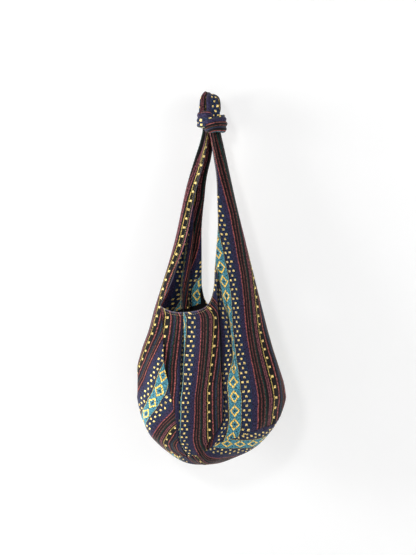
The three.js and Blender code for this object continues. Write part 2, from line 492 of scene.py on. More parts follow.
    def ribs(self, graph: Graph, across: Socket, along: Socket) -> Socket:
        """Raise the ribs of the weave.

        Args:
            graph: The material's nodes.
            across: Place across the cloth, in millimetres.
            along: Place along the cloth, in millimetres.

        Returns:
            Height from -1 to 1.
        """
        warp = graph.math("SINE", graph.math("MULTIPLY", across, 2 * math.pi / self.warp_pitch))
        weft = graph.math("SINE", graph.math("MULTIPLY", along, 2 * math.pi / self.weft_pitch))
        return graph.math("MULTIPLY", warp, weft)


@dataclass(frozen=True)
class PlainFinish:
    """Plain yarn or cotton in one dyed colour, with a fine uneven surface."""

    name: str
    colour: Colour
    roughness: float = 0.9
    sheen: float = 0.1
    grain_scale: float = 900.0
    grain_share: float = 0.5
    grain_height: float = 0.0003
    patch_scale: float = 40.0
    dark_share: float = 0.6

    def build(self) -> Material:
        """Make the material.

        Returns:
            The material, which reads Object coordinates.
        """
        graph = Graph(self.name)
        place = graph.add("ShaderNodeTexCoord").outputs["Object"]
        grain = graph.noise(place, self.grain_scale)
        dark = tuple(self.dark_share * channel for channel in self.colour)
        colour = graph.blend(graph.noise(place, self.patch_scale), dark, self.colour)
        colour = graph.blend(graph.math("MULTIPLY", grain, self.grain_share), colour, dark)
        relief = graph.math("MULTIPLY", grain, self.grain_height)
        return graph.finish(colour, self.roughness, self.sheen, relief)


@dataclass(frozen=True)
class Finishes:
    """All materials of the bag, made once."""

    weave: Material
    facing: Material
    lining: Material
    thread: Material

    @classmethod
    def make(cls) -> "Finishes":
        """Build every finish."""
        return cls(
            weave=WeaveFinish("outer_weave_cloth").build(),
            # The strap facing is the outer cloth painted 1.45 times brighter: painted light on the shaded
            # inside of the mouth.
            facing=WeaveFinish("strap_facing_cloth_painted_light", painted_light_gain=1.45).build(),
            lining=PlainFinish("black_lining_cotton", srgb(26, 24, 26)).build(),
            thread=PlainFinish("hem_thread", srgb(206, 190, 130), sheen=0.2).build(),
        )


@dataclass
class Lattice:
    """A sheet's middle-outer surface as rows and columns of points, with its own map."""

    points: Array
    normals: Array
    cloth: Array
    hem: Array

    def part(self, rows: slice, columns: slice) -> "Lattice":
        """Return a block of rows and columns."""
        layers = (self.points, self.normals, self.cloth, self.hem)
        return Lattice(*(values[rows, columns] for values in layers))


def surface_normals(points: Array) -> Array:
    """Find the normals of a lattice.

    Args:
        points: Rows and columns of points; columns run anticlockwise seen from above, and rows upwards.

    Returns:
        Unit normals that point outwards.
    """
    across = np.gradient(points, axis=1)
    up = np.gradient(points, axis=0)
    return unit(np.cross(across, up))


class SheetMesh:
    """Closed cloth meshes made of lattice blocks that share their edges."""

    def __init__(self, name: str) -> None:
        """Start an empty mesh.

        Args:
            name: The piece's name.
        """
        self.name = name
        self.verts: list[Array] = []
        self.maps: list[Array] = []
        self.hems: list[Array] = []
        self.faces: list[tuple[int, ...]] = []
        self.count = 0

    def add(
        self, lattice: Lattice, inset: float, thickness: float, wrap: bool = False, cells: Array | None = None
    ) -> None:
        """Add a lattice as a closed sheet.

        Args:
            lattice: The surface to follow.
            inset: How far inside the surface the sheet's outer face lies.
            thickness: The sheet's thickness, inwards.
            wrap: Whether the last column joins the first.
            cells: Which cells of the lattice are cloth, all of them when left out.
        """
        outer = lattice.points - inset * lattice.normals
        inner = outer - thickness * lattice.normals
        for layer in (outer, inner):
            self.verts.append(layer.reshape(-1, 3))
            self.maps.append(lattice.cloth.reshape(-1, 2))
            self.hems.append(lattice.hem.ravel())
        size = lattice.hem.size
        front = self.count + np.arange(size).reshape(lattice.hem.shape)
        self.count += 2 * size
        if wrap:
            front = np.concatenate([front, front[:, :1]], axis=1)
        if cells is None:
            cells = np.ones((front.shape[0] - 1, front.shape[1] - 1), bool)
        framed = np.pad(cells, ((0, 0), (1, 1)), mode="wrap" if wrap else "constant")
        framed = np.pad(framed, ((1, 1), (0, 0)))
        for row, column in np.argwhere(cells):
            low, high = front[row : row + 2, column : column + 2]
            corners = [low[0], low[1], high[1], high[0]]
            self.faces.append(tuple(corners))
            self.faces.append(tuple(corner + size for corner in reversed(corners)))
            near = framed[row : row + 3, column : column + 3]
            beside = (near[0, 1], near[1, 2], near[2, 1], near[1, 0])
            for start, end, joined in zip(corners, corners[1:] + corners[:1], beside):
                if not joined:
                    self.faces.append((end, start, start + size, end + size))

    def build(self, material: Material) -> Piece:
        """Make the object.

        Args:
            material: Its finish.

        Returns:
            The smooth-shaded object, linked to the scene.
        """
        mesh = bpy.data.meshes.new(self.name)
        mesh.from_pydata(np.concatenate(self.verts).tolist(), [], self.faces)
        corners = np.zeros(len(mesh.loops), np.int32)
        mesh.loops.foreach_get("vertex_index", corners)
        cloth = mesh.uv_layers.new(name=UV_NAME)
        cloth.data.foreach_set("uv", np.concatenate(self.maps)[corners].astype(np.float32).ravel())
        hem = mesh.attributes.new(HEM_NAME, "FLOAT", "POINT")
        hem.data.foreach_set("value", np.concatenate(self.hems).astype(np.float32))
        return make_piece(mesh, material)


def make_piece(mesh: bpy.types.Mesh, material: Material) -> Piece:
    """Make an object of a mesh, merge its shared points and shade it smooth.

    Args:
        mesh: The mesh, which gives the object its name.
        material: Its finish.

    Returns:
        The object, linked to the scene.
    """
    mesh.materials.append(material)
    piece = bpy.data.objects.new(mesh.name, mesh)
    bpy.context.scene.collection.objects.link(piece)
    bpy.ops.object.select_all(action="DESELECT")
    piece.select_set(True)
    bpy.context.view_layer.objects.active = piece
    bpy.ops.object.mode_set(mode="EDIT")
    bpy.ops.mesh.select_all(action="SELECT")
    bpy.ops.mesh.remove_doubles(threshold=MERGE_DISTANCE)
    bpy.ops.mesh.delete_loose()
    bpy.ops.object.mode_set(mode="OBJECT")
    bpy.ops.object.shade_smooth_by_angle(angle=math.radians(SMOOTH_ANGLE))
    return piece


def dress(piece: Piece, slot: Slot, *nodes: str) -> None:
    """Bind a piece to the bag.

    Args:
        piece: The piece.
        slot: Its material slot; not used.
        *nodes: The nodes that it stands for.
    """
    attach(piece, BODY)
    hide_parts(*nodes)


@dataclass(frozen=True)
class Wave:
    """A wave over the cloth: how high it stands, and how fast it repeats one way and across it."""

    height: float
    rate: float
    cross_rate: float = 0.0
    phase_rate: float = 1.0

    def at(self, way: Array, cross: Array | float, phase: float) -> Array:
        """Return how far the wave stands out at places along the two ways."""
        return self.height * np.sin(self.rate * way + self.cross_rate * cross + self.phase_rate * phase)


@dataclass(frozen=True)
class Pucker:
    """Small puckers beside a sewn seam, unevenly spaced."""

    height: float
    reach: float
    around: float = 34.0
    sway: float = 2.0
    sway_around: float = 5.0

    def at(self, turn: Array, away: Array) -> Array:
        """Return how far the puckers stand out at angles in radians and distances from the seam."""
        swayed = self.around * turn + self.sway * np.sin(self.sway_around * turn)
        return self.height * np.exp(-away / self.reach) * np.sin(swayed)


@dataclass(frozen=True)
class BagForm:
    """The oval form that the hanging bag takes.

    An angle of 0 is the right side, -90 the front and 90 the back. A height below the belly counts along the
    bowl.
    """

    knot_drop: float = 0.084
    corner_drop: float = 0.500
    belly_drop: float = 0.720
    bowl_depth: float = 0.162
    neck_half_width: float = 0.023
    neck_half_depth: float = 0.014
    belly_half_width: float = 0.176
    belly_half_depth: float = 0.068
    depth_growth: float = 1.25
    bowl_lean: float = 0.014
    lean_levels: Span = (-0.77, -0.87)
    bulge_start: float = -0.1
    arc_steps: int = 33
    seam_low_angle: float = -122.0
    seam_swing: float = 0.080
    mouth_dip: float = 0.015
    mouth_rise: float = 0.048
    mouth_turn_angle: float = 4.0
    base_seam_slope: float = 33.0
    base_seam_tilt: float = 25.0
    base_seam_low_angle: float = -130.0
    base_seam_draw: float = 0.026
    base_draw_rise: Span = (-95.0, -78.0)
    base_draw_fall: Span = (-12.0, -50.0)
    base_seam_gap: float = 0.0004
    corner_angle: float = 26.0
    outer_edge: Stops = (
        (-0.50, 26.0), (-0.475, 31.0), (-0.455, 35.0), (-0.43, 38.0), (-0.394, 40.5), (-0.365, 44.0),
        (-0.307, 49.0), (-0.223, 54.5), (-0.163, 66.0), (-0.08, 78.0),
    )
    left_bulge: Stops = (
        (-0.882, 0.0), (-0.876, -0.005), (-0.868, -0.0105), (-0.852, -0.0155), (-0.833, -0.0125),
        (-0.814, -0.007), (-0.785, -0.004), (-0.737, -0.005), (-0.718, -0.0035), (-0.677, 0.006),
        (-0.641, 0.0165), (-0.62, 0.0175), (-0.59, 0.0168), (-0.564, 0.013), (-0.506, 0.0085), (-0.44, 0.004),
        (-0.36, 0.0), (-0.20, 0.0), (-0.15, -0.004), (-0.115, -0.0075), (-0.08, -0.008),
    )
    right_bulge: Stops = (
        (-0.882, 0.0), (-0.876, -0.005), (-0.868, -0.008), (-0.85, -0.002), (-0.80, -0.003), (-0.76, -0.002),
        (-0.71, 0.005), (-0.685, 0.0075), (-0.66, 0.007), (-0.60, 0.0015), (-0.56, 0.0),
    )
    seam_low: Stops = (
        (-0.88, -123.0), (-0.835, -122.0), (-0.81, -120.5), (-0.783, -118.5), (-0.745, -118.2),
        (-0.715, -120.3), (-0.68, -121.5), (-0.60, -122.0),
    )

    def girth(self, height: Array) -> tuple[Array, Array, Array]:
        """Measure the oval at a height.

        Args:
            height: Heights, along the bowl below the belly.

        Returns:
            Half width, half depth and true level.
        """
        fall = np.maximum(0.0, -self.belly_drop - height) / self.bowl_depth
        level = np.maximum(height, -self.belly_drop)
        share = np.clip((-self.knot_drop - level) / (self.belly_drop - self.knot_drop), 0.0, 1.0)
        width = mix(self.neck_half_width, self.belly_half_width, share) * np.cos(fall)
        depth = mix(self.neck_half_depth, self.belly_half_depth, share**self.depth_growth) * np.cos(fall)
        return width, depth, level - self.bowl_depth * np.sin(fall)

    def point(self, angle: Array, height: Array) -> Array:
        """Find points on the form.

        Args:
            angle: Angles in degrees.
            height: Heights.

        Returns:
            Points, with a last axis of three.
        """
        turn = np.radians(angle)
        width, depth, level = self.girth(height)
        lean = self.bowl_lean * ease(level, *self.lean_levels)
        left = soft_curve(level, self.left_bulge) * ease(-np.cos(turn), self.bulge_start, 1.0)
        right = soft_curve(level, self.right_bulge) * ease(np.cos(turn), self.bulge_start, 1.0)
        return np.stack([width * np.cos(turn) - lean - left + right, depth * np.sin(turn), level], axis=-1)

    def inward(self, angle: Array, height: Array) -> tuple[Array, Array]:
        """Find the level directions at points of the form.

        Args:
            angle: Angles in degrees.
            height: Heights.

        Returns:
            Unit vectors straight in, and along the girth anticlockwise.
        """
        turn = np.radians(angle)
        width, depth, _ = self.girth(height)
        along = unit(np.stack([-width * np.sin(turn), depth * np.cos(turn), np.zeros_like(turn)], axis=-1))
        return np.stack([-along[..., 1], along[..., 0], np.zeros_like(turn)], axis=-1), along

    def arc(self, angle: Array, height: Array) -> Array:
        """Measure along the girth from the right side.

        Args:
            angle: Angles in degrees.
            height: Heights.

        Returns:
            Signed lengths.
        """
        width, depth, _ = (np.asarray(measure)[..., None] for measure in self.girth(height))
        turn = np.radians(np.asarray(angle))[..., None] * np.linspace(0.0, 1.0, self.arc_steps)
        speed = np.hypot(width * np.sin(turn), depth * np.cos(turn))
        return np.trapz(speed, turn, axis=-1)

    def seam_angle(self, height: Array) -> Array:
        """Return the angle of the side seam at the front left; the other lies half a turn on."""
        swing = np.exp(np.minimum(0.0, height + self.corner_drop) / self.seam_swing)
        return mix(soft_curve(height, self.seam_low), self.corner_angle - 180.0, swing)

    def base_seam_height(self, angle: Array) -> Array:
        """Find the seam round the base, which the front tuck draws up to its right.

        Args:
            angle: Angles in degrees.

        Returns:
            Heights.
        """
        swing = np.cos(np.radians(angle - self.base_seam_low_angle))
        drawn = ease(angle, *self.base_draw_rise) * ease(angle, *self.base_draw_fall) * self.base_seam_draw
        low = self.bowl_depth * np.radians(self.base_seam_slope + self.base_seam_tilt * swing)
        return drawn - low - self.belly_drop

    def panel_top(self, angle: Array, inner_angle: float) -> Array:
        """Find the top of a panel's body: its mouth edge, and then the foot of its strap.

        Args:
            angle: Angles in degrees, in the panel's own turn.
            inner_angle: Angle of the strap's inner edge at its foot.

        Returns:
            Heights.
        """
        corner = self.corner_angle - 180.0
        along = np.clip((angle - corner) / (inner_angle - corner), 0.0, 1.0)
        turn_up = np.exp(np.minimum(0.0, angle - inner_angle) / self.mouth_turn_angle)
        mouth = -self.corner_drop - self.mouth_dip * np.sin(np.pi * along) + self.mouth_rise * turn_up
        foot = -self.corner_drop + self.mouth_rise * np.maximum(0.0, angle / inner_angle)
        return np.where(angle > inner_angle, foot, mouth)


@dataclass(frozen=True)
class Fold:
    """A fold of slack cloth that tucks inwards: where it runs and how deep it is, by height."""

    angles: Stops
    depths: Stops
    left_angle: float = 3.4
    right_angle: float = 3.4
    lip: float = 0.007
    right_lip: float = 0.007
    gap: float = 0.0016
    gap_share: float = 0.16
    lean: float = 0.0
    groove: Stops = ((-1.0, 0.0), (0.0, 0.0))
    lip_cells: int = 8
    wall_cells: int = 3
    turn_cells: int = 3
    bend_growth: float = 1.8
    gap_limit: float = 0.3
    lip_limit: float = 0.5
    shallow_width: float = 0.35
    shallow_depths: Span = (0.004, 0.018)
    groove_shares: tuple[float, ...] = (0.1, 0.35, 0.8, 1.0)

    @property
    def cells(self) -> int:
        """Return how many columns the fold takes."""
        return 2 * (self.lip_cells + self.wall_cells + self.turn_cells)

    def section(self, level: float) -> tuple[Array, Array]:
        """Shape the fold at one level.

        Args:
            level: Height of the level.

        Returns:
            Angles across the fold from its middle, and how far in each point lies.
        """
        depth = float(soft_curve(level, self.depths))
        gap = min(self.gap, self.gap_limit * depth)
        bend = 0.5 * np.pi * np.linspace(0.0, 1.0, self.lip_cells + 1) ** self.bend_growth
        run = np.linspace(0.0, 1.0, self.wall_cells + 1)[1:]
        turn = np.linspace(0.0, 0.5 * np.pi, self.turn_cells + 1)[1:]
        sides = []
        for lip_size in (self.lip, self.right_lip):
            lip = min(lip_size, self.lip_limit * depth)
            across = np.concatenate([
                -1.0 + (1.0 - self.gap_share) * np.sin(bend),
                np.full(len(run), -self.gap_share),
                -self.gap_share * np.cos(turn),
            ])
            inward = np.concatenate([
                lip * (1.0 - np.cos(bend)),
                lip + (depth - gap - lip) * run,
                depth - gap + gap * np.sin(turn),
            ])
            even = np.linspace(-1.0, 0.0, len(across))
            sides.append((mix(even, across, ease(depth, 0.0, 2.0 * self.lip)), inward))
        (left, left_in), (right, right_in) = sides
        left_angle = self.left_angle * mix(self.shallow_width, 1.0, ease(depth, *self.shallow_depths))
        across = np.concatenate([left_angle * left, -self.right_angle * right[-2::-1]])
        inward = np.concatenate([left_in, right_in[-2::-1]])
        groove = np.array(self.groove_shares)
        inward[-1 - len(groove) : -1] += float(soft_curve(level, self.groove)) * groove
        return across, inward


@dataclass(frozen=True)
class BandPlan:
    """Where the weave's bands lie on a panel, in metres across the cloth.

    The places count from the panel's round side, with a stretch in front of it and one past it. The place at
    the side is given by height, or follows from the angles of the line on which the places start. Beyond the
    tuck they start afresh at an anchor column and pass marks at set distances from it, and the pleat takes up
    a set width of cloth. The tuck's broad lip shows a set width too, and a crease beside it hides some more.
    The lean of the bands can be calmed in front of the side.
    """

    near_stretch: Stops
    far_stretch: Stops
    anchor: Stops
    middle_stretch: Stops
    side: Stops = ()
    zero_line: Stops = ()
    marks: tuple[tuple[float, Stops], ...] = ()
    anchor_at_edge: bool = False
    calm: float = 0.0
    calm_angle: float = 60.0
    calm_level: float = -0.52
    calm_reach: Span = (-60.0, 10.0)
    loose_levels: Span = (-0.53, -0.46)
    lip_levels: Span = (-0.42, -0.47)
    pleat_width: float = 0.057
    lip_width: float = 0.0
    crease_width: Stops = ((-1.0, 0.0), (0.0, 0.0))

    def middle(self, past: Array, heights: Array) -> Array:
        """Find places across the cloth beyond the tuck.

        Args:
            past: Distances past the anchor column.
            heights: Heights.

        Returns:
            The places.
        """
        stretch = soft_curve(heights, self.middle_stretch)
        place = soft_curve(heights, self.anchor)
        start, gone = place, np.zeros_like(heights)
        place = place + stretch * np.minimum(past, 0.0)
        for mark, distance in self.marks:
            span = soft_curve(heights, distance) - gone
            place = place + (mark - start) / span * np.clip(past - gone, 0.0, span)
            start, gone = mark, gone + span
        return place + stretch * np.maximum(past - gone, 0.0)


@dataclass
class Panel:
    """One outer panel with its strap, its facing and its lining."""

    name: str
    side: Side
    form: BagForm
    pleat: Fold
    tuck: Fold
    bands: BandPlan
    inner_edge: Stops
    edge_low_angle: float = -93.0
    thickness: float = 0.0014
    facing_inset: float = 0.0024
    facing_thickness: float = 0.001
    facing_drop: float = 0.05
    lining_inset: float = 0.0016
    lining_thickness: float = 0.0006
    knot_reach: float = 0.012
    body_rows: int = 100
    strap_rows: int = 84
    wedge_cells: int = 14
    mouth_cells: int = 28
    edge_cells: int = 12
    side_cells: int = 52
    seat_share: float = 0.04
    seat_height: float = -0.40
    drift_rows: float = 12.0
    low_guess: float = -0.85
    low_level: float = -0.86
    pleat_top: float = -0.51
    tuck_top: float = -0.46
    tuck_clearance: float = 1.4
    settle_rounds: int = 8
    back_phase: float = 0.9
    gather: Wave = Wave(1.0, 7.0, 5.0)
    knot_gather: float = 0.0026
    knot_gather_levels: Span = (-0.36, -0.10)
    strap_gather: float = 0.0009
    strap_gather_levels: Span = (-0.50, -0.36)
    sag: Wave = Wave(0.0024, 5.0, 16.0)
    sag_swell: Wave = Wave(1.0, 0.0, 9.0, 1.3)
    cross_sag: Wave = Wave(0.0015, 9.0, -27.0, 2.0)
    sag_top: Span = (-0.46, -0.56)
    sag_foot: Span = (-0.86, -0.78)
    pucker: Pucker = Pucker(0.0011, 0.018)
    hem_width: float = 0.0022
    strap_hem_width: float = 0.0016
    strap_hem_share: float = 0.45
    row_height: float = 0.0036
    flat: Span = (0.52, 0.86)
    flat_area: float = 0.18
    facing_flat: Span = (0.22, 0.46)
    facing_area: float = 0.05
    lining_flat: Span = (0.48, 0.38)
    lining_area: float = 0.13

    @property
    def inner_low_angle(self) -> float:
        """Return the angle of the strap's inner edge at its foot."""
        return float(soft_curve(self.form.mouth_rise - self.form.corner_drop, self.inner_edge))

    def column_marks(self) -> dict[str, int]:
        """Count the columns up to each border between the panel's stretches.

        Returns:
            The column at each border.
        """
        counts = (self.wedge_cells, self.pleat.cells, self.mouth_cells, self.edge_cells, self.tuck.cells)
        names = ("pleat_in", "pleat_out", "edge", "tuck_in", "tuck_out")
        return dict(zip(names, np.cumsum(counts).tolist()))

    def row(self, borders: Array, levels: Array) -> tuple[Array, Array, Array]:
        """Lay out one row of columns.

        Args:
            borders: Angles of the left end, pleat, strap edge, tuck and right end.
            levels: Heights of the pleat and the tuck in this row.

        Returns:
            Angles, how far in each column is folded, and the middle angle of its fold.
        """
        left, pleat, edge, tuck, right = borders
        folds = []
        for fold, middle, level in ((self.pleat, pleat, levels[0]), (self.tuck, tuck, levels[1])):
            across, inward = fold.section(float(level))
            folds.append((middle + across, inward))
        pleat_in, pleat_out = folds[0][0][0], folds[0][0][-1]
        tuck_in, tuck_out = folds[1][0][0], folds[1][0][-1]
        stretches = [
            np.linspace(left, pleat_in, self.wedge_cells + 1)[:-1],
            folds[0][0][:-1],
            np.linspace(pleat_out, edge, self.mouth_cells + 1)[:-1],
            np.linspace(edge, tuck_in, self.edge_cells + 1)[:-1],
            folds[1][0][:-1],
            np.linspace(tuck_out, right, self.side_cells + 1),
        ]
        marks = self.column_marks()
        angles = np.concatenate(stretches)
        inward = np.zeros_like(angles)
        middles = angles.copy()
        for name, (_, depth), middle in zip(("pleat", "tuck"), folds, (pleat, tuck)):
            columns = slice(marks[f"{name}_in"], marks[f"{name}_out"] + 1)
            inward[columns] = depth
            middles[columns] = middle
        return angles, inward, middles

    def settle(self, fold: Fold, start: float, height_of: Callable[[float], Array]) -> float:
        """Find where a fold meets an edge of the panel.

        Args:
            fold: The fold.
            start: First guess of the height.
            height_of: Function that gives the edge's height at an angle.

        Returns:
            The fold's angle there.
        """
        height = start
        for _ in range(self.settle_rounds):
            height = float(height_of(float(soft_curve(height, fold.angles))))
        return float(soft_curve(height, fold.angles))

    def layout(self) -> tuple[Array, Array, Array, Array]:
        """Lay out every row, from the base seam to the knot.

        Returns:
            Angles, heights, fold depths and fold middles, by row and column.
        """
        form = self.form
        turn = self.side.value
        marks = self.column_marks()

        def low_of(angle: float) -> float:
            """Return the base seam's height at an angle of this panel."""
            return form.base_seam_height(turn + angle) + form.base_seam_gap

        def top_of(angle: float) -> float:
            """Return the panel's top at an angle."""
            return form.panel_top(np.asarray(angle, float), self.inner_low_angle)

        low_borders = np.array([
            form.seam_low_angle, self.settle(self.pleat, self.low_guess, low_of), self.edge_low_angle,
            self.settle(self.tuck, self.low_guess, low_of), form.seam_low_angle + 180.0,
        ])
        top_borders = np.array([
            form.corner_angle - 180.0, self.settle(self.pleat, self.pleat_top, top_of), self.inner_low_angle,
            self.settle(self.tuck, self.tuck_top, top_of), form.corner_angle,
        ])
        lows = low_of(self.row(low_borders, np.full(2, self.low_level))[0])
        tops = top_of(self.row(top_borders, np.array([self.pleat_top, self.tuck_top]))[0])
        rows = []
        for share in np.linspace(0.0, 1.0, self.body_rows + 1):
            heights = mix(lows, tops, share)
            pleat_level = heights[(marks["pleat_in"] + marks["pleat_out"]) // 2]
            tuck_level = heights[(marks["tuck_in"] + marks["tuck_out"]) // 2]
            borders = np.array([
                form.seam_angle(heights[0]),
                soft_curve(pleat_level, self.pleat.angles),
                mix(self.edge_low_angle, self.inner_low_angle, share),
                soft_curve(tuck_level, self.tuck.angles),
                form.seam_angle(heights[-1]) + 180.0,
            ])
            angles, inward, middles = self.row(borders, np.array([pleat_level, tuck_level]))
            rows.append((angles, heights, inward, middles))
        knot = -form.knot_drop + self.knot_reach
        for share in np.linspace(0.0, 1.0, self.strap_rows + 1)[1:]:
            heights = mix(tops, knot, share)
            tuck_level = heights[(marks["tuck_in"] + marks["tuck_out"]) // 2]
            edge = float(soft_curve(heights[marks["edge"]], self.inner_edge))
            least = edge + self.tuck.left_angle + self.tuck_clearance
            tuck = max(float(soft_curve(tuck_level, self.tuck.angles)), least)
            outer = float(soft_curve(heights[-1], form.outer_edge))
            borders = np.array([top_borders[0], top_borders[1], edge, tuck, outer])
            angles, inward, middles = self.row(borders, np.array([self.pleat_top, tuck_level]))
            rows.append((angles, heights, inward, middles))
        return tuple(np.array(values) for values in zip(*rows))

    def lattice(self) -> Lattice:
        """Shape the whole panel.

        Returns:
            Its lattice; the mouth columns of the strap rows aren't cloth.
        """
        angles, heights, inward, middles = self.layout()
        marks = self.column_marks()
        turned = angles + self.side.value
        direction, along = self.form.inward(middles + self.side.value, heights)
        lean = np.zeros_like(inward)
        lean[:, marks["pleat_in"] : marks["pleat_out"]] = self.pleat.lean
        lean[:, marks["tuck_in"] : marks["tuck_out"]] = self.tuck.lean
        points = self.form.point(turned, heights)
        points = points + inward[..., None] * (direction + lean[..., None] * along)
        normals = self.normals(points)
        points = points + self.ripple(angles, heights)[..., None] * normals
        normals = self.normals(points)
        return Lattice(points, normals, self.cloth_map(angles, heights, points, normals), self.hem(points))

    def normals(self, points: Array) -> Array:
        """Find normals that don't reach over the open mouth.

        Args:
            points: The panel's points.

        Returns:
            Unit normals.
        """
        edge = self.column_marks()["edge"]
        normals = np.zeros_like(points)
        normals[:, edge:] = surface_normals(points[:, edge:])
        body = surface_normals(points[: self.body_rows + 1])
        normals[: self.body_rows, :] = body[: self.body_rows]
        normals[self.body_rows, :edge] = body[self.body_rows, :edge]
        return normals

    def ripple(self, angles: Array, heights: Array) -> Array:
        """Work slack and gathers into the cloth.

        Args:
            angles: Angles in the panel's own turn.
            heights: Heights.

        Returns:
            How far each point stands out.
        """
        phase = self.back_phase if self.side is Side.BACK else 0.0
        turn = np.radians(angles)
        gather = self.knot_gather * ease(heights, *self.knot_gather_levels)
        gather += self.strap_gather * ease(heights, *self.strap_gather_levels)
        slack = self.sag.at(turn, heights, phase) * self.sag_swell.at(turn, heights, 1.0)
        slack += self.cross_sag.at(turn, heights, phase)
        slack *= ease(heights, *self.sag_top) * ease(heights, *self.sag_foot)
        away = heights - self.form.base_seam_height(angles + self.side.value)
        return gather * self.gather.at(turn, heights, phase) + slack + self.pucker.at(turn, away)

    def cloth_map(self, angles: Array, heights: Array, points: Array, normals: Array) -> Array:
        """Map the weave onto the panel.

        Args:
            angles: Angles in the panel's own turn.
            heights: Heights.
            points: The panel's points.
            normals: Their normals.

        Returns:
            Places across and along the cloth, in metres.
        """
        marks = self.column_marks()
        bands = self.bands
        arc = self.form.arc(angles, heights)
        near = soft_curve(heights, bands.near_stretch)
        far = soft_curve(heights, bands.far_stretch)
        side = self.side_place(heights)
        lean = side - self.side_place(np.asarray(bands.calm_level))
        side = side - bands.calm * ease(-angles, 0.0, bands.calm_angle) * lean
        across = side + np.where(angles < 0.0, near, far) * arc
        anchor = marks["edge"] if bands.anchor_at_edge else marks["pleat_out"]
        reach = arc - self.form.arc(np.full_like(heights, FRONT_ANGLE), heights)
        middle = bands.middle(reach - reach[:, anchor : anchor + 1], heights)
        if not bands.anchor_at_edge:
            middle = mix(middle, across, ease(heights, *bands.loose_levels))
        pleat_in, pleat_out = marks["pleat_in"], marks["pleat_out"]
        tuck_in, tuck_out = marks["tuck_in"], marks["tuck_out"]
        side_across = across.copy()
        across[:, :tuck_in] = middle[:, :tuck_in]
        across[:, tuck_in : tuck_out + 1] = self.across_tuck(
            points, heights, middle[:, tuck_in], side_across[:, tuck_out]
        )
        left = middle[:, pleat_out] - bands.pleat_width
        across[:, pleat_in : pleat_out + 1] = self.across_fold(
            points, slice(pleat_in, pleat_out + 1), left, middle[:, pleat_out]
        )
        across[:, :pleat_in] = left[:, None] + reach[:, :pleat_in] - reach[:, pleat_in : pleat_in + 1]
        return np.stack([across, self.along_cloth(across, angles, heights, points, normals)], axis=-1)

    def side_place(self, heights: Array) -> Array:
        """Find the cloth's place at the panel's round side.

        Args:
            heights: Heights.

        Returns:
            Places across the cloth.
        """
        bands = self.bands
        if not bands.zero_line:
            return soft_curve(heights, bands.side)
        level = np.clip(heights, bands.zero_line[0][0], bands.zero_line[-1][0])
        stretch = soft_curve(level, bands.near_stretch)
        return -stretch * self.form.arc(soft_curve(level, bands.zero_line), level)

    @staticmethod
    def across_fold(
        points: Array, columns: slice, left: Array, right: Array, turn_back: bool = False
    ) -> Array:
        """Spread the cloth's places through a fold.

        Args:
            points: The panel's points.
            columns: The fold's columns.
            left: Place at its left lip, by row.
            right: Place at its right lip, by row.
            turn_back: Whether the bands keep their width and turn back at a line inside the fold.

        Returns:
            Places across the cloth.
        """
        steps = np.linalg.norm(np.diff(points[:, columns], axis=1), axis=2)
        run = np.concatenate([np.zeros((len(steps), 1)), np.cumsum(steps, axis=1)], axis=1)
        length = run[:, -1:]
        slope = (right - left)[:, None] / length
        place = left[:, None] + slope * run
        if turn_back:
            outward, back = np.maximum(1.0 - slope, 0.0), np.maximum(1.0 + slope, 0.0)
            place += np.minimum(run * outward, (length - run) * back)
        return place

    def across_tuck(self, points: Array, heights: Array, left: Array, right: Array) -> Array:
        """Spread the cloth's places through the tuck, its broad lip and the crease beside it.

        Args:
            points: The panel's points.
            heights: Heights.
            left: Place at its left lip, by row.
            right: Place at its right lip, by row.

        Returns:
            Places across the cloth.
        """
        marks = self.column_marks()
        columns = slice(marks["tuck_in"], marks["tuck_out"] + 1)
        even = self.across_fold(points, columns, left, right)
        if not self.bands.lip_width:
            return even
        level = heights[:, marks["tuck_out"]]
        lip_end = right - soft_curve(level, self.bands.crease_width)
        lip_start = lip_end - self.bands.lip_width
        first = marks["tuck_out"] - self.tuck.lip_cells
        inner = self.across_fold(points, slice(marks["tuck_in"], first + 1), left, lip_start, turn_back=True)
        lip = self.across_fold(points, slice(first, marks["tuck_out"]), lip_start, lip_end)
        shown = np.concatenate([inner, lip[:, 1:], right[:, None]], axis=1)
        return mix(even, shown, ease(level, *self.bands.lip_levels)[:, None])

    def along_cloth(
        self, across: Array, angles: Array, heights: Array, points: Array, normals: Array
    ) -> Array:
        """Measure along the bands, square to them where they lean.

        Args:
            across: Places across the cloth.
            angles: Angles in the panel's own turn.
            heights: Heights.
            points: The panel's points.
            normals: Their normals.

        Returns:
            Places along the cloth.
        """
        start, first = self.column_marks()["tuck_in"], self.column_marks()["tuck_out"]
        block = points[:, first:]
        level = unit(np.cross(np.array([0.0, 0.0, 1.0]), normals[:, first:]))
        rise = np.cross(normals[:, first:], level)
        side_step, up_step = (np.gradient(block, axis=axis) for axis in (1, 0))
        side_level, side_rise = (np.sum(side_step * axis, axis=2) for axis in (level, rise))
        up_level, up_rise = (np.sum(up_step * axis, axis=2) for axis in (level, rise))
        side_change, up_change = (np.gradient(across[:, first:], axis=axis) for axis in (1, 0))
        scale = side_level * up_rise - side_rise * up_level
        scale = np.where(np.abs(scale) < TINY, TINY, scale)
        slope_level = (side_change * up_rise - up_change * side_rise) / scale
        slope_rise = (side_level * up_change - up_level * side_change) / scale
        size = np.maximum(np.hypot(slope_level, slope_rise), TINY)
        turn_level, turn_rise = -slope_rise / size, slope_level / size
        seat = round(self.seat_share * self.side_cells)
        climb = np.cumsum((turn_level * up_level + turn_rise * up_rise)[:, seat])
        run = np.cumsum(turn_level * side_level + turn_rise * side_rise, axis=1)
        rest = np.argmin(np.abs(heights[:, first] - self.seat_height))
        climb += heights[rest, first + seat] - climb[rest]
        drift = climb[:, None] + run - run[:, seat : seat + 1] - heights[:, first:]
        levels = np.arange(len(drift))
        blur = np.exp(-(((levels[:, None] - levels) / self.drift_rows) ** 2))
        drift = blur @ drift / blur.sum(axis=1, keepdims=True)
        share = ease(angles[:, first:], *self.bands.calm_reach) if self.bands.calm else 1.0
        along = heights.copy()
        along[:, first:] += share * drift
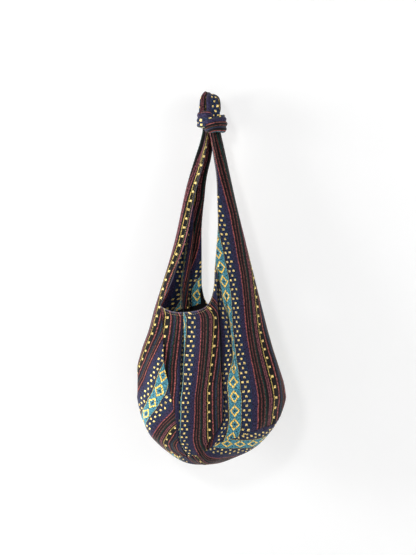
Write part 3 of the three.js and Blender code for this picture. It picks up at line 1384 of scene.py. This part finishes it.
        shift = along[:, first] - heights[:, first]
        along[:, start:first] += np.outer(shift, np.linspace(0.0, 1.0, first - start, endpoint=False))
        return along

    def hem(self, points: Array) -> Array:
        """Mark how near each point is to a hemmed edge.

        Args:
            points: The panel's points.

        Returns:
            1 on the mouth edge and the strap's two edges, falling to 0 a few millimetres in.
        """
        edge = self.column_marks()["edge"]
        body = self.body_rows
        hem = np.zeros(points.shape[:2])
        top = np.linalg.norm(points[: body + 1] - points[body : body + 1], axis=2)
        hem[: body + 1, : edge + 1] = np.exp(-((top[:, : edge + 1] / self.hem_width) ** 2))
        for column in (edge, -1):
            away = np.linalg.norm(points[body:] - points[body:, column][:, None], axis=2)
            strap_hem = self.strap_hem_share * np.exp(-((away / self.strap_hem_width) ** 2))
            hem[body:] = np.maximum(hem[body:], strap_hem)
        return hem

    def build(self, finishes: Finishes, stitches: "Stitching") -> list[Piece]:
        """Make and dress the panel, its facing, its lining and its stitches.

        Args:
            finishes: The bag's materials.
            stitches: How hems are sewn.

        Returns:
            The pieces.
        """
        lattice = self.lattice()
        edge = self.column_marks()["edge"]
        body = self.body_rows
        outer = SheetMesh(f"{self.name}_cloth")
        cells = np.ones((lattice.hem.shape[0] - 1, lattice.hem.shape[1] - 1), bool)
        cells[body:, :edge] = False
        outer.add(lattice, 0.0, self.thickness, cells=cells)
        panel = outer.build(finishes.weave)
        strap = "right_strap" if self.side is Side.FRONT else "left_strap"
        dress(panel, Slot.WEAVE, self.name, strap)
        sewn = stitches.build(f"{self.name}_stitching", self.stitch_lines(lattice), finishes.thread)
        facing = self.build_facing(lattice, strap, finishes)
        return [panel, sewn, facing, self.build_lining(lattice, finishes)]

    def build_facing(self, lattice: Lattice, strap: str, finishes: Finishes) -> Piece:
        """Line the strap with the same cloth, in a copy whose colour is painted brighter: painted light on
        the inside of the strap, which lies in shade.

        Args:
            lattice: The panel's lattice.
            strap: Name of the strap's node.
            finishes: The bag's materials.

        Returns:
            The facing.
        """
        edge = self.column_marks()["edge"]
        start = self.body_rows - round(self.facing_drop / self.row_height)
        block = lattice.part(slice(start, -2), slice(edge + 2, -2))
        block.hem = np.zeros_like(block.hem)
        sheet = SheetMesh(f"{strap}_facing_cloth")
        sheet.add(block, self.facing_inset, self.facing_thickness)
        facing = sheet.build(finishes.facing)
        dress(facing, Slot.FACING, f"{strap}_facing")
        return facing

    def build_lining(self, lattice: Lattice, finishes: Finishes) -> Piece:
        """Line the panel's body.

        Args:
            lattice: The panel's lattice.
            finishes: The bag's materials.

        Returns:
            The lining.
        """
        block = lattice.part(slice(0, self.body_rows - 1), slice(None))
        block.hem = np.zeros_like(block.hem)
        lining_name = "front_lining" if self.side is Side.FRONT else "back_lining"
        sheet = SheetMesh(f"{lining_name}_cloth")
        sheet.add(block, self.lining_inset, self.lining_thickness)
        lining = sheet.build(finishes.lining)
        dress(lining, Slot.LINING, lining_name)
        return lining

    def stitch_lines(self, lattice: Lattice) -> list[tuple[Array, Array]]:
        """Find the lines along which the hems are sewn.

        Args:
            lattice: The panel's lattice.

        Returns:
            Points and normals of each line.
        """
        edge = self.column_marks()["edge"]
        body = self.body_rows
        blocks = [
            (slice(body - 2, body - 1), slice(2, edge + 3)),
            (slice(body - 2, -8), slice(edge + 3, edge + 4)),
            (slice(body + 2, -8), slice(-4, -3)),
        ]
        return [
            (lattice.points[rows, columns].reshape(-1, 3), lattice.normals[rows, columns].reshape(-1, 3))
            for rows, columns in blocks
        ]


@dataclass(frozen=True)
class Stitching:
    """Rows of short stitches along the hems."""

    length: float = 0.0030
    pitch: float = 0.0046
    radius: float = 0.00042
    sides: int = 6
    proud: float = 0.2
    profile: Stops = ((-0.5, 0.25), (-0.3, 0.9), (0.0, 1.0), (0.3, 0.9), (0.5, 0.25))

    def build(self, name: str, lines: list[tuple[Array, Array]], thread: Material) -> Piece:
        """Sew along lines.

        Args:
            name: The piece's name.
            lines: Points and normals of each line.
            thread: Finish of the thread.

        Returns:
            All the stitches as one piece.
        """
        verts: list[Array] = []
        faces: list[tuple[int, ...]] = []
        ring = np.linspace(0.0, 2.0 * np.pi, self.sides, endpoint=False)[:, None]
        for points, normals in lines:
            length = run_length(points)
            for middle in np.arange(self.pitch, length[-1] - self.pitch, self.pitch):
                start, end = (
                    np.array([np.interp(middle + step, length, axis) for axis in points.T])
                    for step in (-0.5 * self.length, 0.5 * self.length)
                )
                out = np.array([np.interp(middle, length, axis) for axis in normals.T])
                along = unit(end - start)
                circle = np.cos(ring) * np.cross(along, out) + np.sin(ring) * out
                faces += self.capsule_faces(self.sides * len(verts))
                centre = 0.5 * (start + end) + self.proud * self.radius * out
                for place, swell in self.profile:
                    verts.append(centre + place * self.length * along + swell * self.radius * circle)
        mesh = bpy.data.meshes.new(name)
        mesh.from_pydata(np.concatenate(verts).tolist(), [], faces)
        piece = make_piece(mesh, thread)
        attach(piece, BODY)
        return piece

    def capsule_faces(self, first: int) -> list[tuple[int, ...]]:
        """Skin one stitch.

        Args:
            first: Index of its first point.

        Returns:
            Its faces.
        """
        count, rings = self.sides, len(self.profile)
        faces = [tuple(first + step for step in reversed(range(count)))]
        for ring in range(rings - 1):
            low = first + ring * count
            for side in range(count):
                beside = (side + 1) % count
                faces.append((low + side, low + beside, low + count + beside, low + count + side))
        faces.append(tuple(first + (rings - 1) * count + step for step in range(count)))
        return faces


@dataclass
class Base:
    """The round base and its lining."""

    form: BagForm
    thickness: float = 0.0014
    lining_inset: float = 0.0022
    lining_thickness: float = 0.0006
    around: int = 160
    rings: int = 34
    band_turn: float = 27.0
    band_offset: float = 0.091
    band_stretch: float = 1.1
    band_bend: float = 0.53
    band_bend_start: float = 0.01
    band_lift: float = 0.16
    band_lift_start: float = 0.085
    pole_share: float = 0.012
    sag: Wave = Wave(0.0016, 4.0)
    pucker: Pucker = Pucker(0.0010, 0.016)
    flat: Span = (0.34, 0.24)
    flat_area: float = 0.05

    def lattice(self) -> Lattice:
        """Shape the base, from near its pole up to the seam.

        Returns:
            Its lattice, whose last column joins the first.
        """
        form = self.form
        turns = np.linspace(-180.0, 180.0, self.around, endpoint=False)
        pole = -form.belly_drop - 0.5 * math.pi * form.bowl_depth
        share = np.linspace(self.pole_share, 1.0, self.rings + 1)[:, None]
        seam = form.base_seam_height(turns)[None, :] - form.base_seam_gap
        heights = mix(pole, seam, share)
        angles = np.broadcast_to(turns, heights.shape)
        points = form.point(angles, heights)
        padded = np.concatenate([points[:, -1:], points, points[:, :1]], axis=1)
        normals = surface_normals(padded)[:, 1:-1]
        turn = np.radians(angles)
        ripple = self.sag.at(turn, heights, 1.0) * np.sin(np.pi * share)
        ripple += self.pucker.at(turn, seam - heights)
        points = points + ripple[..., None] * normals
        return Lattice(points, normals, self.cloth_map(points), np.zeros(points.shape[:2]))

    def cloth_map(self, points: Array) -> Array:
        """Spread the base flat round its pole and lay the bands slantwise.

        Args:
            points: The base's points.

        Returns:
            Places across and along the cloth, in metres.
        """
        steps = np.linalg.norm(np.diff(points, axis=0), axis=2)
        first = np.linalg.norm(points[0] - points[0].mean(axis=0), axis=1)
        reach = np.concatenate([first[None], first[None] + np.cumsum(steps, axis=0)])
        level = points[..., :2] - points[0].mean(axis=0)[:2]
        flat = reach[..., None] * unit(level)
        turn = math.radians(self.band_turn)
        off = flat[..., 0] * math.sin(turn) - flat[..., 1] * math.cos(turn)
        along = flat[..., 0] * math.cos(turn) + flat[..., 1] * math.sin(turn)
        bend = self.band_bend * np.maximum(0.0, self.band_bend_start - flat[..., 0])
        bend -= self.band_lift * np.maximum(0.0, flat[..., 0] - self.band_lift_start)
        return np.stack([self.band_stretch * (self.band_offset - off) + bend, along], axis=-1)

    def build(self, finishes: Finishes) -> list[Piece]:
        """Make and dress the base and its lining.

        Args:
            finishes: The bag's materials.

        Returns:
            The two pieces.
        """
        lattice = self.lattice()
        made = []
        for node, inset, thickness, finish, slot in (
            ("base_panel", 0.0, self.thickness, finishes.weave, Slot.WEAVE),
            ("base_lining", self.lining_inset, self.lining_thickness, finishes.lining, Slot.LINING),
        ):
            sheet = SheetMesh(f"{node}_cloth")
            sheet.add(lattice, inset, thickness, wrap=True)
            piece = sheet.build(finish)
            dress(piece, slot, node)
            made.append(piece)
        return made


@dataclass(frozen=True)
class Strand:
    """One turn of bundled strap: the path of its middle, its width axis, its size and its bands."""

    path: tuple[Place, ...]
    axes: tuple[Place, ...]
    half_width: float
    half_thick: float
    band_start: float
    ridges: float
    crease: float = 0.0
    crease_width: float = 0.0
    pinch: float = 0.0


@dataclass
class Knot:
    """The tied strap top: two turns and the hanging loop, each a strap folded in layers."""

    steps: int = 44
    layer_cells: int = 18
    turn_cells: int = 5
    thickness: float = 0.0014
    flat: Span = (0.11, 0.40)
    crown: float = 0.6
    ridge: float = 0.24
    crease_depth: float = 0.8
    crease_span: float = 0.09
    crease_turn: float = 0.08
    middle_share: float = 0.94
    low_crown: float = 0.3
    turn_bulge: float = 0.10
    turn_half: float = 0.30
    right_turn: float = 0.33
    left_turn: float = -0.36
    swell: Wave = Wave(0.10, 9.0, 0.0, 90.0)
    pinch_place: float = 0.43
    pinch_span: float = 0.1
    end_width: float = 0.55
    end_thick: float = 0.8
    end_reach: float = 0.14
    wrinkle: Wave = Wave(0.0007, 23.0, 3.0, 0.0)

    def strands(self) -> list[Strand]:
        """Plan the loop and the two turns.

        Returns:
            The strands.
        """
        side = (1.0, 0.0, 0.0)
        tall = (0.0, 0.0, 1.0)
        loop = Strand(
            path=(
                (0.000, 0.010, -0.056), (0.000, 0.015, -0.026), (-0.001, 0.012, -0.003),
                (-0.003, 0.000, 0.0075), (-0.004, -0.012, -0.004), (-0.003, -0.016, -0.024),
                (-0.002, -0.014, -0.044), (0.000, -0.010, -0.062),
            ),
            axes=(side, side, (1.0, 0.0, -0.15), (1.0, 0.0, -0.3), (1.0, 0.0, -0.2), side, side, side),
            half_width=0.0205, half_thick=0.0050, band_start=0.070, ridges=2.0,
            crease=-0.3, crease_width=0.034, pinch=0.42,
        )
        left = Strand(
            path=(
                (0.012, 0.014, -0.056), (-0.012, 0.017, -0.055), (-0.025, 0.004, -0.056),
                (-0.022, -0.012, -0.057), (-0.006, -0.020, -0.058), (0.010, -0.014, -0.062),
            ),
            axes=(tall, tall, tall, tall, (-0.1, 0.0, 1.0), (-0.2, 0.0, 1.0)),
            half_width=0.017, half_thick=0.0052, band_start=0.012, ridges=2.5,
        )
        right = Strand(
            path=(
                (-0.012, -0.010, -0.074), (-0.004, -0.021, -0.072), (0.014, -0.024, -0.069),
                (0.030, -0.014, -0.067), (0.031, 0.003, -0.064), (0.016, 0.016, -0.060),
                (-0.010, 0.013, -0.058),
            ),
            axes=((-0.6, 0.0, 1.0), (-0.6, 0.0, 1.0), (-0.35, 0.0, 1.0), (-0.15, 0.0, 1.0), tall, tall, tall),
            half_width=0.0175, half_thick=0.0056, band_start=0.095, ridges=3.0,
        )
        return [loop, left, right]

    def section(self, strand: Strand) -> tuple[Array, Array]:
        """Fold a strap's width into three layers.

        Args:
            strand: The strand.

        Returns:
            Points across and through the bundle, in shares of its half sizes, and the cloth's place at each
            of them.
        """
        layer = np.linspace(-1.0, 1.0, self.layer_cells + 1)
        bend = np.linspace(-0.5 * np.pi, 0.5 * np.pi, self.turn_cells + 1)[1:-1]
        crest = 1.0 - self.crown * layer**2 + self.ridge * np.cos(strand.ridges * np.pi * layer)
        if strand.crease_width:
            crest -= self.crease_depth * np.exp(-(((layer - strand.crease) / self.crease_span) ** 2))
        bulge, rise = 1.0 + self.turn_bulge * np.cos(bend), self.turn_half * np.sin(bend)
        points = np.concatenate([
            np.stack([layer, crest], axis=1),
            np.stack([bulge, self.right_turn - rise], axis=1),
            np.stack([self.middle_share * layer[::-1], np.zeros_like(layer)], axis=1),
            np.stack([-bulge, self.left_turn - rise], axis=1),
            np.stack([layer, -1.0 + self.low_crown * layer**2], axis=1),
        ])
        place = strand.band_start + run_length(points * np.array([strand.half_width, strand.half_thick]))
        hidden = ease(layer, strand.crease - self.crease_turn, strand.crease + self.crease_turn)
        place[: len(layer)] += strand.crease_width * hidden
        place[len(layer) :] += strand.crease_width
        return points, place

    def lattice(self, strand: Strand) -> Lattice:
        """Sweep a strand's section along its path.

        Args:
            strand: The strand.

        Returns:
            Its lattice.
        """
        knots = np.linspace(0.0, 1.0, len(strand.path))
        at = np.linspace(0.0, 1.0, self.steps + 1)
        path, axes = (
            np.stack([soft_curve(at, tuple(zip(knots, axis))) for axis in np.array(route).T], axis=1)
            for route in (strand.path, strand.axes)
        )
        along = unit(np.gradient(path, axis=0))
        axes = unit(axes - np.sum(axes * along, axis=1, keepdims=True) * along)
        outward = np.cross(along, axes)
        section, place = self.section(strand)
        swell = 1.0 + self.swell.at(at, 0.0, strand.band_start)
        swell -= strand.pinch * np.exp(-(((at - self.pinch_place) / self.pinch_span) ** 2))
        inner = ease(at, 0.0, self.end_reach) * ease(at, 1.0, 1.0 - self.end_reach)
        ends = mix(self.end_width, 1.0, inner)
        across = strand.half_width * np.outer(ends * swell, section[:, 0])
        through = strand.half_thick * np.outer(mix(self.end_thick, 1.0, ends) * swell, section[:, 1])
        through += self.wrinkle.at(at[:, None], section[:, 0], 0.0)
        points = path[:, None] + across[..., None] * axes[:, None] + through[..., None] * outward[:, None]
        run = run_length(path)
        cloth = np.stack(np.broadcast_arrays(place[None, :], run[:, None]), axis=-1)
        return Lattice(points, surface_normals(points), cloth, np.zeros(points.shape[:2]))

    def build(self, finishes: Finishes) -> Piece:
        """Make and dress the knot.

        Args:
            finishes: The bag's materials.

        Returns:
            The piece.
        """
        sheet = SheetMesh("strap_knot_cloth")
        for strand in self.strands():
            sheet.add(self.lattice(strand), 0.0, self.thickness)
        piece = sheet.build(finishes.weave)
        dress(piece, Slot.WEAVE, "strap_knot")
        return piece


@dataclass(frozen=True)
class Lamp:
    """A soft square lamp that faces the bag."""

    name: str
    place: Place
    size: float
    power: float
    aim: Place = (0.0, 0.0, -0.5)

    def build(self) -> None:
        """Hang the lamp."""
        data = bpy.data.lights.new(self.name, "AREA")
        data.size = self.size
        data.energy = self.power
        lamp = bpy.data.objects.new(self.name, data)
        lamp.location = self.place
        east, north, up = np.array(self.aim) - np.array(self.place)
        tilt = math.atan2(math.hypot(east, north), -up)
        lamp.rotation_euler = (tilt, 0.0, math.atan2(east, -north) + math.pi)
        bpy.context.scene.collection.objects.link(lamp)


@dataclass(frozen=True)
class Studio:
    """Floor, backdrop, light and camera."""

    camera_place: Place = (-0.005, -2.6, -0.433)
    view_height: float = 1.332
    floor_level: float = -1.25
    wall_place: float = 0.034
    wall_tilt: float = 0.085
    pale: Colour = (0.6, 0.6, 0.6)
    glow: float = 0.44
    air: float = 0.22
    stage_size: float = 8.0
    lamps: tuple[Lamp, ...] = (
        Lamp("key", (-1.2, -2.4, 0.7), 0.5, 19.0),
        Lamp("side", (-2.6, -0.4, -0.1), 0.9, 106.0),
        Lamp("fill", (2.6, -0.8, 0.1), 2.0, 56.0),
        Lamp("rear", (0.6, 2.6, 0.5), 2.2, 55.0),
    )

    def build(self) -> None:
        """Set up the whole studio."""
        scene = bpy.context.scene
        scene.view_settings.view_transform = "Standard"
        self.add_camera(scene)
        self.add_stage()
        for lamp in self.lamps:
            lamp.build()
        world = bpy.data.worlds.new("studio_air")
        world.use_nodes = True
        air = world.node_tree.nodes["Background"]
        air.inputs["Color"].default_value = (1.0, 1.0, 1.0, 1.0)
        air.inputs["Strength"].default_value = self.air
        scene.world = world

    def add_camera(self, scene: bpy.types.Scene) -> None:
        """Place the camera level with the middle of the bag.

        Args:
            scene: The scene that it serves.
        """
        data = bpy.data.cameras.new("front_view")
        data.sensor_fit = "VERTICAL"
        data.angle = 2.0 * math.atan(0.5 * self.view_height / -self.camera_place[1])
        camera = bpy.data.objects.new("front_view", data)
        camera.location = self.camera_place
        camera.rotation_euler = (0.5 * math.pi, 0.0, 0.0)
        scene.collection.objects.link(camera)
        scene.camera = camera

    def add_stage(self) -> None:
        """Lay the floor and stand the backdrop behind the bag, both clear from behind."""
        bpy.ops.object.select_all(action="DESELECT")
        bpy.ops.mesh.primitive_plane_add(size=self.stage_size, location=(0.0, 0.0, self.floor_level))
        floor = bpy.context.active_object
        floor.name = "studio_floor"
        bpy.ops.object.select_all(action="DESELECT")
        bpy.ops.mesh.primitive_plane_add(
            size=self.stage_size,
            location=(0.0, self.wall_place, 0.0),
            rotation=(0.5 * math.pi + self.wall_tilt, 0.0, 0.0),
        )
        wall = bpy.context.active_object
        wall.name = "studio_backdrop"
        wall.visible_shadow = False
        wall.visible_diffuse = False
        wall.visible_glossy = False
        for piece in (floor, wall):
            piece.data.materials.append(self.stage_finish(piece.name))

    def stage_finish(self, name: str) -> Material:
        """Make a pale matt finish that is clear from behind.

        Args:
            name: The material's name.

        Returns:
            The material.
        """
        graph = Graph(name)
        matt = graph.add("ShaderNodeBsdfDiffuse")
        matt.inputs["Color"].default_value = (*self.pale, 1.0)
        glow = graph.add("ShaderNodeEmission")
        seen = graph.add("ShaderNodeLightPath").outputs["Is Camera Ray"]
        graph.feed(glow.inputs["Strength"], graph.math("MULTIPLY", seen, self.glow))
        both = graph.add("ShaderNodeAddShader")
        graph.links.new(matt.outputs[0], both.inputs[0])
        graph.links.new(glow.outputs[0], both.inputs[1])
        clear = graph.add("ShaderNodeBsdfTransparent")
        choice = graph.add("ShaderNodeMixShader")
        graph.links.new(graph.add("ShaderNodeNewGeometry").outputs["Backfacing"], choice.inputs[0])
        graph.links.new(both.outputs[0], choice.inputs[1])
        graph.links.new(clear.outputs[0], choice.inputs[2])
        output = graph.add("ShaderNodeOutputMaterial")
        graph.links.new(choice.outputs[0], output.inputs["Surface"])
        return graph.material


def front_panel(form: BagForm) -> Panel:
    """Plan the front panel, which runs up into the right strap.

    Args:
        form: The bag's form.

    Returns:
        The panel.
    """
    pleat = Fold(
        angles=((-0.90, -121.5), (-0.835, -121.0), (-0.81, -119.3), (-0.783, -117.3), (-0.745, -115.4),
                (-0.715, -114.8), (-0.672, -113.6), (-0.60, -113.9), (-0.534, -117.2), (-0.513, -118.8)),
        depths=((-0.88, 0.003), (-0.80, 0.012), (-0.72, 0.016), (-0.60, 0.012), (-0.50, 0.006)),
        left_angle=2.4, right_angle=2.6, lean=0.25,
    )
    tuck = Fold(
        angles=((-0.86, -90.0), (-0.823, -88.0), (-0.799, -83.6), (-0.775, -80.2), (-0.739, -79.3),
                (-0.679, -80.0), (-0.583, -80.2), (-0.468, -80.4), (-0.40, -79.0)),
        depths=((-0.87, 0.002), (-0.80, 0.010), (-0.72, 0.015), (-0.57, 0.022), (-0.47, 0.026),
                (-0.43, 0.010), (-0.40, 0.0)),
        left_angle=3.0, right_angle=11.1, right_lip=0.014, lean=-0.2,
        groove=((-0.72, 0.0), (-0.66, 0.003), (-0.60, 0.005), (-0.48, 0.005), (-0.44, 0.0)),
    )
    bands = BandPlan(
        zero_line=((-0.87, -66.0), (-0.83, -67.0), (-0.794, -68.3), (-0.755, -70.3), (-0.715, -71.6),
                   (-0.66, -72.0), (-0.56, -71.8), (-0.454, -71.9), (-0.424, -73.5), (-0.391, -77.1),
                   (-0.355, -80.6), (-0.307, -87.0), (-0.28, -91.0)),
        near_stretch=((-0.87, 0.82), (-0.755, 0.83), (-0.715, 0.85), (-0.66, 0.94), (-0.607, 1.01),
                      (-0.56, 1.08), (-0.511, 1.12), (-0.454, 1.1), (-0.391, 1.03), (-0.355, 1.0),
                      (-0.307, 0.97), (-0.2, 0.95)),
        far_stretch=((-0.87, 0.82), (-0.715, 0.85), (-0.5, 0.95)),
        anchor=((-0.835, -0.149), (-0.782, -0.150), (-0.672, -0.1515), (-0.534, -0.1565)),
        middle_stretch=((-0.83, 1.05), (-0.52, 1.2)),
        marks=(
            (-0.143, ((-0.83, 0.008), (-0.67, 0.010), (-0.53, 0.017))),
            (-0.121, ((-0.83, 0.029), (-0.67, 0.030), (-0.53, 0.033))),
            (-0.077, ((-0.83, 0.070), (-0.67, 0.066), (-0.53, 0.068))),
        ),
        lip_width=0.030,
        crease_width=((-0.68, 0.0), (-0.655, 0.006), (-0.63, 0.016), (-0.60, 0.021), (-0.54, 0.021),
                      (-0.495, 0.005), (-0.46, 0.0)),
    )
    edge = ((-0.475, -87.0), (-0.452, -85.3), (-0.415, -84.0), (-0.367, -80.9), (-0.307, -76.2),
            (-0.247, -74.0), (-0.175, -71.5), (-0.12, -81.3), (-0.072, -100.0))
    return Panel("front_panel", Side.FRONT, form, pleat, tuck, bands, edge)


def back_panel(form: BagForm) -> Panel:
    """Plan the back panel, which runs up into the left strap.

    Args:
        form: The bag's form.

    Returns:
        The panel.
    """
    pleat = Fold(
        angles=((-0.90, -114.0), (-0.80, -113.0), (-0.72, -112.4), (-0.583, -117.0), (-0.513, -121.0)),
        depths=((-0.86, 0.003), (-0.76, 0.010), (-0.60, 0.010), (-0.50, 0.006)),
        left_angle=3.0, right_angle=3.0,
    )
    tuck = Fold(
        angles=((-0.86, -84.0), (-0.80, -80.0), (-0.70, -77.0), (-0.583, -70.0), (-0.487, -61.0),
                (-0.464, -58.5), (-0.367, -55.0), (-0.307, -51.0), (-0.25, -47.5)),
        depths=((-0.86, 0.002), (-0.78, 0.008), (-0.68, 0.014), (-0.56, 0.020), (-0.46, 0.022),
                (-0.37, 0.018), (-0.29, 0.009), (-0.24, 0.0)),
        left_angle=6.0, right_angle=6.0, lip=0.010, right_lip=0.010, gap=0.004, gap_share=0.35,
    )
    bands = BandPlan(
        side=((-0.86, 0.233), (-0.82, 0.200), (-0.80, 0.176), (-0.781, 0.161), (-0.739, 0.133),
              (-0.708, 0.118), (-0.69, 0.108), (-0.664, 0.0875), (-0.638, 0.069), (-0.615, 0.0608),
              (-0.58, 0.0555), (-0.523, 0.0625), (-0.458, 0.074), (-0.37, 0.066), (-0.25, 0.066),
              (-0.127, 0.062)),
        near_stretch=((-0.52, 0.85), (-0.46, 0.76), (-0.42, 0.98), (-0.38, 1.2), (-0.30, 1.3)),
        far_stretch=((-0.86, 1.0), (-0.84, 1.0), (-0.82, 0.9), (-0.80, 0.94), (-0.781, 0.85),
                     (-0.757, 0.74), (-0.739, 0.71), (-0.708, 0.70), (-0.69, 0.77), (-0.664, 0.98),
                     (-0.638, 1.09), (-0.58, 1.1), (-0.523, 1.0), (-0.46, 0.9)),
        anchor=((-0.50, -0.180), (-0.463, -0.178), (-0.42, -0.152), (-0.379, -0.134), (-0.319, -0.121),
                (-0.247, -0.108)),
        middle_stretch=((-0.7, 1.05), (-0.4, 1.05)),
        anchor_at_edge=True, calm=0.6,
    )
    edge = ((-0.46, -80.3), (-0.367, -77.0), (-0.307, -74.6), (-0.247, -76.6), (-0.175, -83.0),
            (-0.14, -95.0), (-0.12, -101.0), (-0.072, -106.0))
    return Panel("back_panel", Side.BACK, form, pleat, tuck, bands, edge, seat_share=0.83)


def main() -> None:
    """Build every piece in order."""
    logging.basicConfig(level=logging.INFO, format="%(message)s")
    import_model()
    Studio().build()
    form = BagForm()
    finishes = Finishes.make()
    stitches = Stitching()
    made: list[Piece] = []
    for panel in (front_panel(form), back_panel(form)):
        made += panel.build(finishes, stitches)
    made += Base(form).build(finishes)
    made.append(Knot().build(finishes))
    for piece in made:
        LOG.info("%s: %d faces", piece.name, len(piece.data.polygons))


if __name__ == "__main__":
    main()
